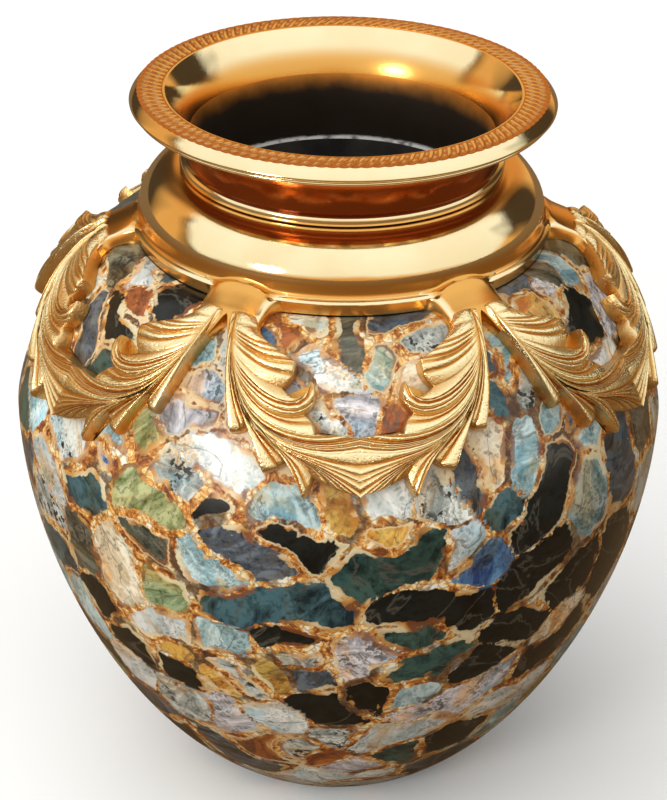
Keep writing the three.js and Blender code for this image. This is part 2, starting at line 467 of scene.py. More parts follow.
@dataclass(frozen=True)
class View:
    """Where the photograph was taken from, and its frame in pixels."""

    width: int = 667
    height: int = 800
    focal_pixels: float = 2539.0
    sensor: float = 36.0
    distance: float = 1.080
    aim_height: float = 0.1625
    aim_left: float = 0.0021
    pitch: float = math.radians(28.24)
    turn: float = math.radians(-3.6)
    roll: float = math.radians(0.877)

    def matrix(self) -> Matrix:
        """The camera's place and turn."""
        outwards = Vector((math.sin(self.turn), -math.cos(self.turn), 0))
        sideways = Vector((math.cos(self.turn), math.sin(self.turn), 0))
        aim = Vector((0, 0, self.aim_height)) - sideways * self.aim_left
        rise = Vector((0, 0, math.sin(self.pitch)))
        place = aim + (outwards * math.cos(self.pitch) + rise) * self.distance
        facing = (aim - place).to_track_quat("-Z", "Y").to_matrix().to_4x4()
        return Matrix.Translation(place) @ facing @ Matrix.Rotation(self.roll, 4, "Z")

    def seen_on(self, piece: bpy.types.Object, across: float, down: float) -> Vector | None:
        """The place on a piece that the photograph shows at one of its pixels.

        Args:
            piece: the piece.
            across: the pixel's distance from the left edge of the frame.
            down: the pixel's distance from the top edge.

        Returns:
            The place, or None where the piece isn't in the way.
        """
        matrix = self.matrix()
        right = (across - self.width / 2) / self.focal_pixels
        up = (self.height / 2 - down) / self.focal_pixels
        way = matrix.to_3x3() @ Vector((right, up, -1))
        hit, place, _, _ = piece.ray_cast(matrix.translation, way.normalized())
        return place if hit else None


# The stones


class Stone(Enum):
    """The kinds of stone in the mosaic: the light colour, the dark colour and how speckled it is."""

    WHITE = ((0.93, 0.95, 0.91), (0.52, 0.60, 0.58), 0.35)
    SPECKLED = ((0.84, 0.88, 0.82), (0.27, 0.31, 0.29), 1.0)
    AQUA = ((0.68, 0.86, 0.87), (0.16, 0.33, 0.37), 0.5)
    TEAL = ((0.075, 0.16, 0.18), (0.006, 0.022, 0.03), 0.1)
    SLATE = ((0.15, 0.18, 0.21), (0.012, 0.016, 0.025), 0.2)
    GREEN = ((0.05, 0.11, 0.09), (0.007, 0.02, 0.017), 0.0)
    BLACK = ((0.010, 0.014, 0.013), (0.002, 0.003, 0.003), 0.0)
    OLIVE = ((0.62, 0.64, 0.32), (0.14, 0.17, 0.04), 0.1)
    GRANITE = ((0.24, 0.22, 0.15), (0.04, 0.035, 0.022), 0.9)
    LILAC = ((0.84, 0.82, 0.84), (0.34, 0.33, 0.36), 0.8)
    CREAM = ((0.96, 0.89, 0.70), (0.58, 0.42, 0.22), 0.2)
    AMBER = ((0.82, 0.52, 0.12), (0.46, 0.18, 0.03), 0.2)
    RUST = ((0.50, 0.15, 0.035), (0.12, 0.03, 0.012), 0.3)
    BLUE = ((0.14, 0.30, 0.50), (0.02, 0.05, 0.16), 0.2)


SHARES = {
    Stone.WHITE: 10, Stone.SPECKLED: 11, Stone.AQUA: 14, Stone.TEAL: 11, Stone.SLATE: 11, Stone.GREEN: 9,
    Stone.BLACK: 15, Stone.OLIVE: 4, Stone.GRANITE: 5, Stone.LILAC: 8, Stone.CREAM: 4, Stone.AMBER: 3,
    Stone.RUST: 2, Stone.BLUE: 2,
}

# The fragments that the photograph shows, each as the line along its middle, from one pixel to another
FRAGMENTS = {
    Stone.WHITE: (
        ((190, 448), (240, 480)), ((42, 450), (56, 490)), ((140, 620), (188, 632)), ((375, 504), (395, 500)),
        ((460, 548), (460, 548)), ((305, 356), (345, 388)), ((152, 266), (139, 284)),
    ),
    Stone.SPECKLED: (
        ((57, 424), (82, 452)), ((163, 464), (198, 490)), ((222, 662), (248, 690)), ((284, 748), (308, 748)),
        ((170, 690), (196, 700)), ((286, 655), (310, 662)), ((434, 492), (456, 512)), ((336, 736), (336, 736)),
        ((405, 345), (421, 330)), ((317, 417), (335, 431)), ((526, 365), (523, 399)),
    ),
    Stone.AQUA: (
        ((115, 414), (115, 448)), ((182, 552), (228, 580)), ((264, 510), (318, 530)), ((200, 634), (240, 646)),
        ((78, 586), (94, 618)), ((521, 420), (520, 478)), ((589, 472), (590, 522)), ((587, 414), (588, 430)),
        ((400, 698), (426, 692)), ((384, 348), (381, 373)), ((75, 312), (69, 333)), ((204, 342), (188, 356)),
        ((556, 261), (570, 277)), ((498, 347), (507, 381)), ((547, 391), (553, 414)), ((35, 387), (38, 410)),
    ),
    Stone.TEAL: (
        ((70, 488), (95, 480)), ((210, 606), (326, 606)), ((506, 502), (506, 502)), ((492, 384), (504, 414)),
        ((167, 275), (167, 275)),
    ),
    Stone.SLATE: (
        ((212, 534), (274, 566)), ((296, 672), (312, 680)), ((466, 468), (476, 497)), ((616, 432), (622, 492)),
        ((378, 328), (414, 321)), ((97, 302), (86, 339)), ((517, 286), (529, 283)), ((486, 353), (501, 372)),
        ((150, 715), (190, 745)),
    ),
    Stone.GREEN: (
        ((348, 575), (446, 545)), ((394, 638), (436, 632)), ((398, 674), (450, 652)), ((390, 754), (410, 751)),
    ),
    Stone.BLACK: (
        ((211, 508), (211, 508)), ((268, 522), (332, 552)), ((268, 640), (300, 642)), ((122, 634), (142, 652)),
        ((95, 588), (105, 608)), ((172, 664), (194, 682)), ((316, 700), (342, 722)), ((100, 650), (125, 690)),
        ((250, 775), (300, 785)), ((562, 454), (530, 532)), ((514, 590), (562, 546)), ((398, 618), (474, 608)),
        ((500, 632), (540, 614)), ((466, 674), (496, 652)), ((364, 700), (382, 698)), ((592, 550), (548, 600)),
        ((616, 520), (600, 580)), ((514, 674), (572, 620)), ((476, 735), (548, 680)), ((430, 745), (470, 728)),
        ((380, 778), (420, 772)), ((182, 287), (165, 302)), ((118, 299), (118, 328)), ((578, 300), (593, 330)),
        ((621, 338), (621, 338)),
    ),
    Stone.OLIVE: (((139, 420), (146, 434)), ((122, 478), (168, 518)), ((152, 578), (176, 604))),
    Stone.GRANITE: (
        ((73, 520), (84, 556)), ((138, 528), (166, 556)), ((338, 319), (356, 363)), ((127, 244), (120, 278)),
        ((556, 238), (578, 261)), ((538, 273), (550, 273)), ((639, 407), (642, 430)),
    ),
    Stone.LILAC: (
        ((163, 407), (205, 414)), ((214, 696), (250, 732)), ((200, 742), (225, 760)), ((344, 662), (386, 652)),
        ((408, 715), (504, 672)), ((344, 764), (362, 768)), ((338, 405), (375, 422)), ((292, 385), (292, 385)),
        ((158, 391), (167, 371)), ((196, 379), (204, 402)), ((538, 286), (538, 286)), ((593, 280), (613, 326)),
    ),
    Stone.CREAM: (
        ((115, 540), (128, 600)), ((495, 420), (493, 480)), ((290, 319), (326, 325)), ((414, 376), (421, 388)),
        ((90, 287), (90, 287)), ((556, 622), (556, 622)),
    ),
    Stone.AMBER: (
        ((176, 650), (176, 650)), ((212, 672), (232, 690)), ((262, 668), (280, 680)), ((340, 516), (340, 516)),
        ((390, 536), (390, 536)), ((532, 298), (532, 298)),
    ),
    Stone.RUST: (
        ((262, 736), (264, 756)), ((328, 757), (328, 757)), ((275, 319), (294, 333)), ((395, 425), (395, 425)),
        ((133, 293), (136, 309)),
    ),
    Stone.BLUE: (
        ((106, 458), (106, 458)), ((481, 565), (481, 565)), ((269, 330), (269, 330)), ((578, 411), (578, 411)),
    ),
}


@dataclass(frozen=True)
class Mosaic:
    """The pattern of broken stones over the vessel, in millimetres."""

    seed: int = 11
    step: float = 8.0
    clear: float = 15.0
    tries: int = 2600
    half_length: float = 11.0
    waver: float = 2.0
    waver_size: float = 17.0
    tremble: float = 0.9
    tremble_size: float = 4.5
    recess: float = 0.16
    seam_width: float = 1.6

    def chosen(self, shell: bpy.types.Object, view: View) -> list:
        """The stones that the photograph shows.

        Args:
            shell: the vessel that they lie on.
            view: where the photograph was taken from.

        Returns:
            [kind, places along the stone] pairs.
        """
        stones = []
        for kind, bars in FRAGMENTS.items():
            for start, end in bars:
                first, last = view.seen_on(shell, *start), view.seen_on(shell, *end)
                if first is None or last is None:
                    continue
                count = 1 + round((last - first).length / (self.step * MM))
                shares = [(place + 0.5) / count for place in range(count)] if count > 1 else [0.5]
                stones.append((kind, [first.lerp(last, share) for share in shares]))
        return stones

    def scattered(self, stone: StoneLine, taken: list) -> list:
        """More stones, wherever there is room for them.

        Args:
            stone: the line down the vessel.
            taken: the places of the stones that are already there.

        Returns:
            [kind, places along the stone] pairs.
        """
        chance = random.Random(self.seed)
        kinds, weights = list(SHARES), list(SHARES.values())
        places = np.array([place[:] for place in taken])
        stones = []
        for _ in range(self.tries):
            down = stone.line.length * chance.random() ** 0.85
            angle = chance.random() * math.tau
            half = self.half_length * (0.2 + chance.random())
            tilt = chance.gauss(0, 0.45)
            bar = []
            for share in (-1, -0.35, 0.35, 1):
                across = half * share * math.cos(tilt)
                bar.append(stone.place(across, down + half * share * math.sin(tilt), 0.0, angle))
            gap = min(np.sqrt(((places - np.array(place[:])) ** 2).sum(1)).min() for place in bar)
            if gap < self.clear * MM * (0.8 + 0.5 * chance.random()):
                continue
            stones.append((chance.choices(kinds, weights)[0], bar))
            places = np.vstack([places, [place[:] for place in bar]])
        return stones

    def mark(self, facing: bpy.types.Object, stones: list) -> None:
        """Writes onto each point of the facing which stone it belongs to and how near its edge it lies.

        Args:
            facing: the facing's mesh.
            stones: [kind, places along the stone] pairs.
        """
        chance = random.Random(self.seed + 1)
        noise.seed_set(self.seed)
        seeds = np.array([place[:] for _, bar in stones for place in bar])
        owners = np.array([order for order, (_, bar) in enumerate(stones) for _ in bar])
        apart = np.sqrt(((seeds[:, None] - seeds[None]) ** 2).sum(2)) + 1e-9
        mesh = facing.data
        flat = np.empty(len(mesh.vertices) * 3)
        mesh.vertices.foreach_get("co", flat)
        places = flat.reshape(-1, 3)
        shifts = []
        for place in places:
            slow = noise.noise_vector(Vector(place / (self.waver_size * MM))) * self.waver
            quick = noise.noise_vector(Vector(place / (self.tremble_size * MM))) * self.tremble
            shifts.append((slow + quick)[:])
        shifted = places + np.array(shifts) * MM
        owner = np.empty(len(places), int)
        edge = np.empty(len(places))
        batch = 3000
        for start in range(0, len(places), batch):
            block = shifted[start : start + batch]
            squares = (block**2).sum(1)[:, None] + (seeds**2).sum(1)[None] - 2 * block @ seeds.T
            nearest = squares.argmin(1)
            own = owners[nearest]
            gaps = (squares - squares.min(1)[:, None]) / (2 * apart[nearest])
            gaps[owners[None] == own[:, None]] = 1.0
            owner[start : start + batch] = own
            edge[start : start + batch] = gaps.min(1) / MM
        self.write(mesh, [kind for kind, _ in stones], owner, np.minimum(edge, 15.0), chance)
        normals = np.empty(len(places) * 3)
        mesh.vertices.foreach_get("normal", normals)
        depth = self.recess * MM * (1 - np.clip(edge / self.seam_width, 0, 1)) ** 2
        mesh.vertices.foreach_set("co", (places - normals.reshape(-1, 3) * depth[:, None]).ravel())
        mesh.update()

    def write(
        self, mesh: bpy.types.Mesh, kinds: list, owner: np.ndarray, edge: np.ndarray, chance: random.Random
    ) -> None:
        """Writes the marks that the stone's finish reads.

        Args:
            mesh: the facing's mesh.
            kinds: each stone's kind.
            owner: each point's stone.
            edge: each point's distance from its stone's edge, in millimetres.
            chance: where each stone's own shade and grain come from.
        """
        light, dark, traits = [], [], []
        for kind in kinds:
            pale, deep, speckle = kind.value
            shade = 0.8 + 0.4 * chance.random()
            light.append([channel * shade for channel in pale] + [1])
            dark.append([channel * shade for channel in deep] + [1])
            traits.append([speckle, chance.random(), chance.random(), 1])
        for name, table in (("light", light), ("dark", dark), ("traits", traits)):
            mark = mesh.attributes.new(name, "FLOAT_COLOR", "POINT")
            mark.data.foreach_set("color", np.array(table)[owner].ravel())
        mesh.attributes.new("edge", "FLOAT", "POINT").data.foreach_set("value", edge)


# The vessel


class StoneVessel:
    """The hollow vessel with its facing of stone."""

    COLUMNS = 432

    def __init__(self, sizes: Vessel) -> None:
        """Keeps the sizes.

        Args:
            sizes: the vessel's sizes.
        """
        self.sizes = sizes
        self.facing_wall = 1.2

    def section(self) -> list:
        """The body's whole section, from the middle of the underside round to the middle of the floor."""
        sizes = self.sizes
        outside = bezier(sizes.lower_curve(), 40) + bezier(sizes.upper_curve(), 24)[1:]
        skin, inside = [], []
        for before, here, after in zip(outside, outside[1:], outside[2:]):
            along = (after - before).normalized()
            inwards = Vector((-along.y, along.x))
            skin.append(here + inwards * (self.facing_wall - 0.5))
            inside.append(here + inwards * sizes.wall)
        inside = [place for place in inside if place.y > sizes.floor + 1]
        skin = [place for place in skin if place.y > 0.5]
        outer_lip = sizes.mouth_radius + sizes.lip_wall
        inner_lip = sizes.mouth_radius - sizes.lip_step
        rounding = 0.8
        section = [(0.0, 0.0), (sizes.base_radius - 1.2, 0.0), (sizes.base_radius - 0.9, 0.3)]
        section += [(place.x, place.y) for place in skin]
        section += [
            (outer_lip + 3, sizes.shoulder_height - 0.5),
            (outer_lip, sizes.shoulder_height + 3),
            (outer_lip, sizes.mouth_top - rounding),
            (outer_lip - rounding, sizes.mouth_top),
            (inner_lip + rounding, sizes.mouth_top),
            (inner_lip, sizes.mouth_top - rounding),
            (inner_lip, sizes.shoulder_height - sizes.wall + 2),
            (inner_lip + 2, sizes.shoulder_height - sizes.wall),
        ]
        section += [(place.x, place.y) for place in reversed(inside)]
        section += [(inside[0].x - 6, sizes.floor), (0.0, sizes.floor)]
        return section

    def facing(self) -> bpy.types.Object:
        """The thin skin of stone on the body."""
        sizes = self.sizes
        outside = bezier(sizes.lower_curve(), 104) + bezier(sizes.upper_curve(), 62)[1:]
        foot = [Vector((sizes.base_radius - 6, 0.35)), Vector((sizes.base_radius - 1.6, 0.0))]
        inside = [outside[-1] + Vector((0, -self.facing_wall))]
        inner_step = 13
        for order in range(len(outside) - 10, 4, -inner_step):
            along = (outside[order + 1] - outside[order - 1]).normalized()
            inside.append(outside[order] + Vector((-along.y, along.x)) * self.facing_wall)
        section = [*foot, *outside[1:], *inside]
        section.append(section[0])
        rows = []
        for column in range(self.COLUMNS + 1):
            angle = math.tau * column / self.COLUMNS
            side, front = math.sin(angle), -math.cos(angle)
            rows.append([Vector((place.x * side, place.x * front, place.y)) * MM for place in section])
        return lay_grid("stone_facing", rows, 60)

    def build(self, mosaic: Mosaic, view: View) -> bpy.types.Object:
        """Builds the body and lays the stones on it.

        Args:
            mosaic: the pattern of the stones.
            view: where the photograph was taken from.

        Returns:
            The vessel.
        """
        stone = StoneLine(self.sizes)
        facing = self.facing()
        stones = mosaic.chosen(facing, view)
        taken = [place for _, bar in stones for place in bar]
        stones += mosaic.scattered(stone, taken)
        mosaic.mark(facing, stones)
        log.info("%d stones", len(stones))
        body = turn("vessel_body", self.section(), 128, 40)
        return self.dress(body, facing)

    def dress(self, body: bpy.types.Object, facing: bpy.types.Object) -> bpy.types.Object:
        """Gives the facing and the body their finishes and joins them.

        Args:
            body: the body.
            facing: the skin of stone.

        Returns:
            The vessel.
        """
        stone, bare = MosaicStone().make(), BareInside().make()
        dress(facing, [stone])
        dress(body, [bare, LipRing().make()])
        # The lip's top takes the lip ring finish, a painted highlight.
        for face in body.data.polygons:
            if face.center.z > (self.sizes.mouth_top - 1.2) * MM:
                face.material_index = 1
        return join("stone_vessel_shell", [facing, body])


# The neck and the rim


class TurnedNeck:
    """The tube in the mouth, the neck with its two beads, and the rim with its chased band."""

    def __init__(self, sizes: Neck, vessel: Vessel, collar: Collar) -> None:
        """Works out the radii and heights that follow from the pieces below.

        Args:
            sizes: the neck's own sizes.
            vessel: the vessel that the tube lines.
            collar: the collar that the neck stands on.
        """
        self.sizes = sizes
        self.mouth = vessel.mouth_radius
        self.tube_foot = vessel.mouth_top + collar.seat_gap
        self.foot = vessel.shoulder_height + collar.rise + collar.seat_gap
        self.foot_radius = collar.hole_radius + collar.land - sizes.fit
        self.rim_top = self.foot + sizes.height
        self.band_inner = self.mouth + sizes.rim_flare
        self.rim_radius = self.band_inner + sizes.rim_band_width + sizes.rim_rounding
        self.band_outer = self.rim_radius - sizes.rim_slope

    def foot_part(self) -> list:
        """The outside of the section, from the tube's foot up to the bead under the rim."""
        sizes = self.sizes
        tube = self.mouth + sizes.tube_wall
        cove_foot = Vector((self.foot_radius - sizes.foot_bead_step, self.foot + sizes.foot_bead_height))
        edge_foot = self.rim_top - sizes.rim_edge_height
        bead = Vector((cove_foot.x + sizes.upper_bead_spread, edge_foot - 2 * sizes.upper_bead_height))
        cove = bezier(
            (
                cove_foot,
                Vector((cove_foot.x + 0.3, mix(cove_foot.y, bead.y, 0.45))),
                Vector((mix(cove_foot.x, bead.x, 0.45), bead.y - 2.6)),
                Vector((bead.x - 1.5, bead.y - 0.6)),
            ),
            10,
        )
        part = [(tube, self.tube_foot), (tube, self.foot - 0.4), (tube + 0.6, self.foot)]
        for inset, rise in ((0.6, 0.0), (0.1, 0.3), (-0.1, 1.6), (0.1, 2.9), (0.6, 3.7), (1.3, 4.0)):
            part.append((self.foot_radius - inset, self.foot + rise))
        part += [(place.x, place.y) for place in cove]
        for step in range(9):
            angle = -math.pi / 2 + math.pi * step / 8
            part.append((bead.x - 0.6 + 1.3 * math.cos(angle), bead.y + 1.0 + 1.2 * math.sin(angle)))
        return part

    def rim_part(self) -> list:
        """The rim's underside and rounded edge, up to the outside of the chased band."""
        sizes = self.sizes
        edge_foot = self.rim_top - sizes.rim_edge_height
        start = Vector((self.foot_radius - sizes.foot_bead_step + sizes.upper_bead_spread, edge_foot - 4.4))
        bead_foot = edge_foot - 1.7
        under = bezier(
            (
                start,
                Vector((start.x + 0.6, bead_foot - 0.9)),
                Vector((mix(start.x, self.rim_radius, 0.5), bead_foot - 0.3)),
                Vector((self.rim_radius - sizes.rim_undercut, bead_foot)),
            ),
            8,
        )
        part = [(place.x, place.y) for place in under]
        bead_radius = self.rim_radius - 2.5
        for step in range(7):
            angle = -math.pi / 2 + math.pi * step / 6
            part.append((bead_radius + 0.75 * math.cos(angle), bead_foot + 0.75 + 0.75 * math.sin(angle)))
        turn_out = bezier(
            (
                Vector((bead_radius - 0.1, bead_foot + 1.6)),
                Vector((self.rim_radius - 1.4, bead_foot + 1.7)),
                Vector((self.rim_radius, edge_foot + 0.3)),
                Vector((self.rim_radius - 0.1, edge_foot + 1.3)),
            ),
            6,
        )
        slope = bezier(
            (
                turn_out[-1],
                Vector((self.rim_radius - 0.6, edge_foot + 2.6)),
                Vector((self.band_outer + 1.2, self.rim_top - 1.2)),
                Vector((self.band_outer + 0.1, self.rim_top - 0.25)),
            ),
            10,
        )
        part += [(place.x, place.y) for place in turn_out + slope[1:]]
        part.append((self.band_outer - 0.3, self.rim_top - 0.5))
        return part

    def flare_part(self) -> list:
        """The inside, from the band down the flare to the tube's foot."""
        sizes = self.sizes
        flare = bezier(
            (
                Vector((self.band_inner - 0.7, self.rim_top - 0.5)),
                Vector((self.band_inner - sizes.rim_flare * 0.55, self.rim_top - sizes.rim_flare_depth / 4)),
                Vector((self.mouth + 0.4, self.rim_top - sizes.rim_flare_depth / 2)),
                Vector((self.mouth, self.rim_top - sizes.rim_flare_depth)),
            ),
            22,
        )
        part = [(self.band_inner + 0.3, self.rim_top - 0.3)]
        part += [(place.x, place.y) for place in flare]
        part += [(self.mouth, self.tube_foot + 0.6), (self.mouth + 0.6, self.tube_foot)]
        return part

    def chased_band(self) -> bpy.types.Object:
        """The flat band on the rim, chased all round like a rope, with two rows of short raised cuts; the band is
        painted deep as painted shade, and the cuts are left pale as painted highlights.
        """
        sizes = self.sizes
        samples = 8 * sizes.strokes
        radii = 14
        inner, outer = self.band_inner + 0.2, self.band_outer + 0.1
        slant = 1.6
        rows, marks = [], []
        for step in range(samples + 1):
            angle = math.tau * step / samples
            row, mark = [], []
            for place in range(radii + 1):
                share = place / radii
                wave = (angle / math.tau * sizes.strokes + slant * share) % 1.0
                swell = math.sin(math.pi * wave) ** 0.6
                cut_row = smooth(0.12, 0.04, min(abs(share - 0.3), abs(share - 0.7)) - 0.04)
                cut = math.exp(-(((wave - 0.5) / 0.2) ** 2)) * cut_row
                ends = smooth(0.0, 0.1, share) * smooth(0.0, 0.1, 1 - share)
                lift = -0.15 + sizes.stroke_depth * (swell - 1 + 0.45 * cut) * ends
                reach = outer + 0.35 * math.sin(math.pi * wave) if place == radii else mix(inner, outer, share)
                spot = Vector((reach * math.sin(angle), -reach * math.cos(angle), self.rim_top + lift))
                row.append(spot * MM)
                # Painted shade over the band, lifted on the cuts, which stay pale as painted highlights.
                mark.append(max(1.0 - 1.15 * cut, 0.0))
            for radius in (outer, inner, inner):
                row.append(Vector((radius * math.sin(angle), -radius * math.cos(angle), self.rim_top - 1.0)) * MM)
                mark.append(1.0)
            row[-1] = row[0].copy()
            rows.append(row)
            marks.append(mark)
        return lay_grid("chased_band", rows, 60, marks)

    def flare_shade(self, radius: float, height: float) -> float:
        """How far the flare's gilt is painted towards its deep orange at a place, more so towards its foot: painted
        shade down the mouth.
        """
        down = (self.rim_top - height) / self.sizes.rim_flare_depth
        within = smooth(0.62, 0.4, (radius - self.mouth) / self.sizes.rim_flare)
        return 0.85 * smooth(0.22, 0.5, down) * smooth(0.9, 0.75, down) * within

    def build(self) -> bpy.types.Object:
        """Turns the neck, dresses its zones and lays the chased band on it."""
        section = self.foot_part() + self.rim_part() + self.flare_part()
        body = turn("neck_body", section, 192, 38)
        mark_painted_shade(body, self.flare_shade)
        band = self.chased_band()
        dress(body, [POLISHED.make(), COVE_SHADE.make(), TUBE.make()])
        dress(band, [CHASED.make()])
        throat = self.rim_top - self.sizes.rim_flare_depth * 0.62
        for face in body.data.polygons:
            radius, height = face.center.xy.length / MM, face.center.z / MM
            inwards = face.normal.xy.dot(face.center.xy) < 0
            cove = self.foot + self.sizes.foot_bead_height < height < self.rim_top - self.sizes.rim_edge_height - 2
            # The tube's inside takes the tube finish: painted shade with a painted glow at its top.
            if inwards and height < throat:
                face.material_index = 2
            # The cove under the rim takes the darker gilt copy, painted shade.
            elif not inwards and cove and radius < self.rim_radius - 8:
                face.material_index = 1
        return join("turned_neck_shell", [body, band])


# The collar and its festoons


@dataclass(frozen=True)
class Vein:
    """A main vein of the leaf, which ends on a lobe's tip or in a notch.

    Places are millimetres across from the festoon's middle line and down from the skirt.
    """

    leaves_at: float
    through: tuple
    crest: float


@dataclass(frozen=True)
class Margin:
    """The leaf's edge between two main veins: how far it swells, its flutes, and how round it meets a tip."""

    swell: float
    flutes: int
    round_start: float = 0.0
    round_end: float = 0.0
    bevel: float = 1.0


STEM = (
    (45.2, 9.5), (46.4, 16), (46.9, 22), (46.5, 28), (44.6, 36), (41.6, 43), (37.8, 47.6), (33.5, 51),
    (28.5, 53.6), (23.3, 55.3), (17.5, 56.4), (11.7, 56.9), (5.5, 56.7), (0, 56),
)

WINDOW_VEINS = (
    Vein(0.0, ((41.5, 9.2), (37.4, 9.6)), -0.6),
    Vein(0.06, ((42.5, 14.6), (36.6, 14.2)), -0.4),
    Vein(0.11, ((40.3, 22.0), (32.4, 24.8), (22.4, 24.9)), 1.0),
    Vein(0.17, ((42, 28), (35, 32.3), (27.4, 34.4)), -1.0),
    Vein(0.2, ((42, 32.2), (33, 38.4), (24.0, 40.0), (18.6, 37.3), (16.7, 31.2)), 0.9),
    Vein(0.225, ((42.6, 34.8), (35.2, 41.9), (27, 44.4), (19.6, 43)), -0.9),
    Vein(0.25, ((42.4, 37.4), (36.5, 44), (26.6, 49), (15.6, 50.6)), 1.0),
    Vein(0.27, ((42.4, 40), (35.2, 48), (24, 52.3), (11, 53.1), (0, 51)), 0.2),
)
WINDOW_MARGINS = (
    Margin(0.3, 1, bevel=0.8),
    Margin(-1.6, 3, round_end=3.6),
    Margin(0.8, 2, round_start=3.2),
    Margin(-5.0, 2, round_end=0.8),
    Margin(2.6, 2, round_start=1.2),
    Margin(1.0, 2, round_end=1.0),
    Margin(0.8, 2, round_start=0.6),
)

OUTER_VEINS = (
    Vein(0.0, ((47.0, 10.0), (48.4, 11)), -0.5),
    Vein(0.09, ((48.2, 26), (48.4, 40), (47.2, 53.2)), 0.9),
    Vein(0.17, ((46.7, 31), (44.4, 41), (40.9, 47.6)), -1.0),
    Vein(0.24, ((44.8, 38), (40.6, 49), (37.2, 58), (34.9, 65.8)), 1.0),
    Vein(0.3, ((42.4, 44), (35.4, 52), (26.0, 60.0)), -1.0),
    Vein(0.4, ((38.2, 49.6), (30.8, 54.8), (24.3, 62), (20.4, 74.2)), 1.0),
    Vein(0.5, ((33.4, 52.9), (26, 57), (20.3, 60.6), (16.9, 66.4)), -1.0),
    Vein(0.6, ((25.6, 57.2), (15.5, 61.4), (7, 66.6), (0, 72.2)), 0.7),
)
OUTER_MARGINS = (
    Margin(1.3, 3),
    Margin(1.8, 2),
    Margin(1.0, 2),
    Margin(1.2, 2),
    Margin(0.5, 2),
    Margin(0.6, 2),
    Margin(0.9, 3),
)


@dataclass(frozen=True)
class Relief:
    """The heights of the leaf above the stone, in millimetres."""

    edge: float = 5.8
    seam: float = 5.7
    swell: float = 1.5
    crest: float = 1.1
    flute: float = 0.74
    window_bevel: float = 1.1
    outer_bevel: float = 2.8
    underside: float = 0.3


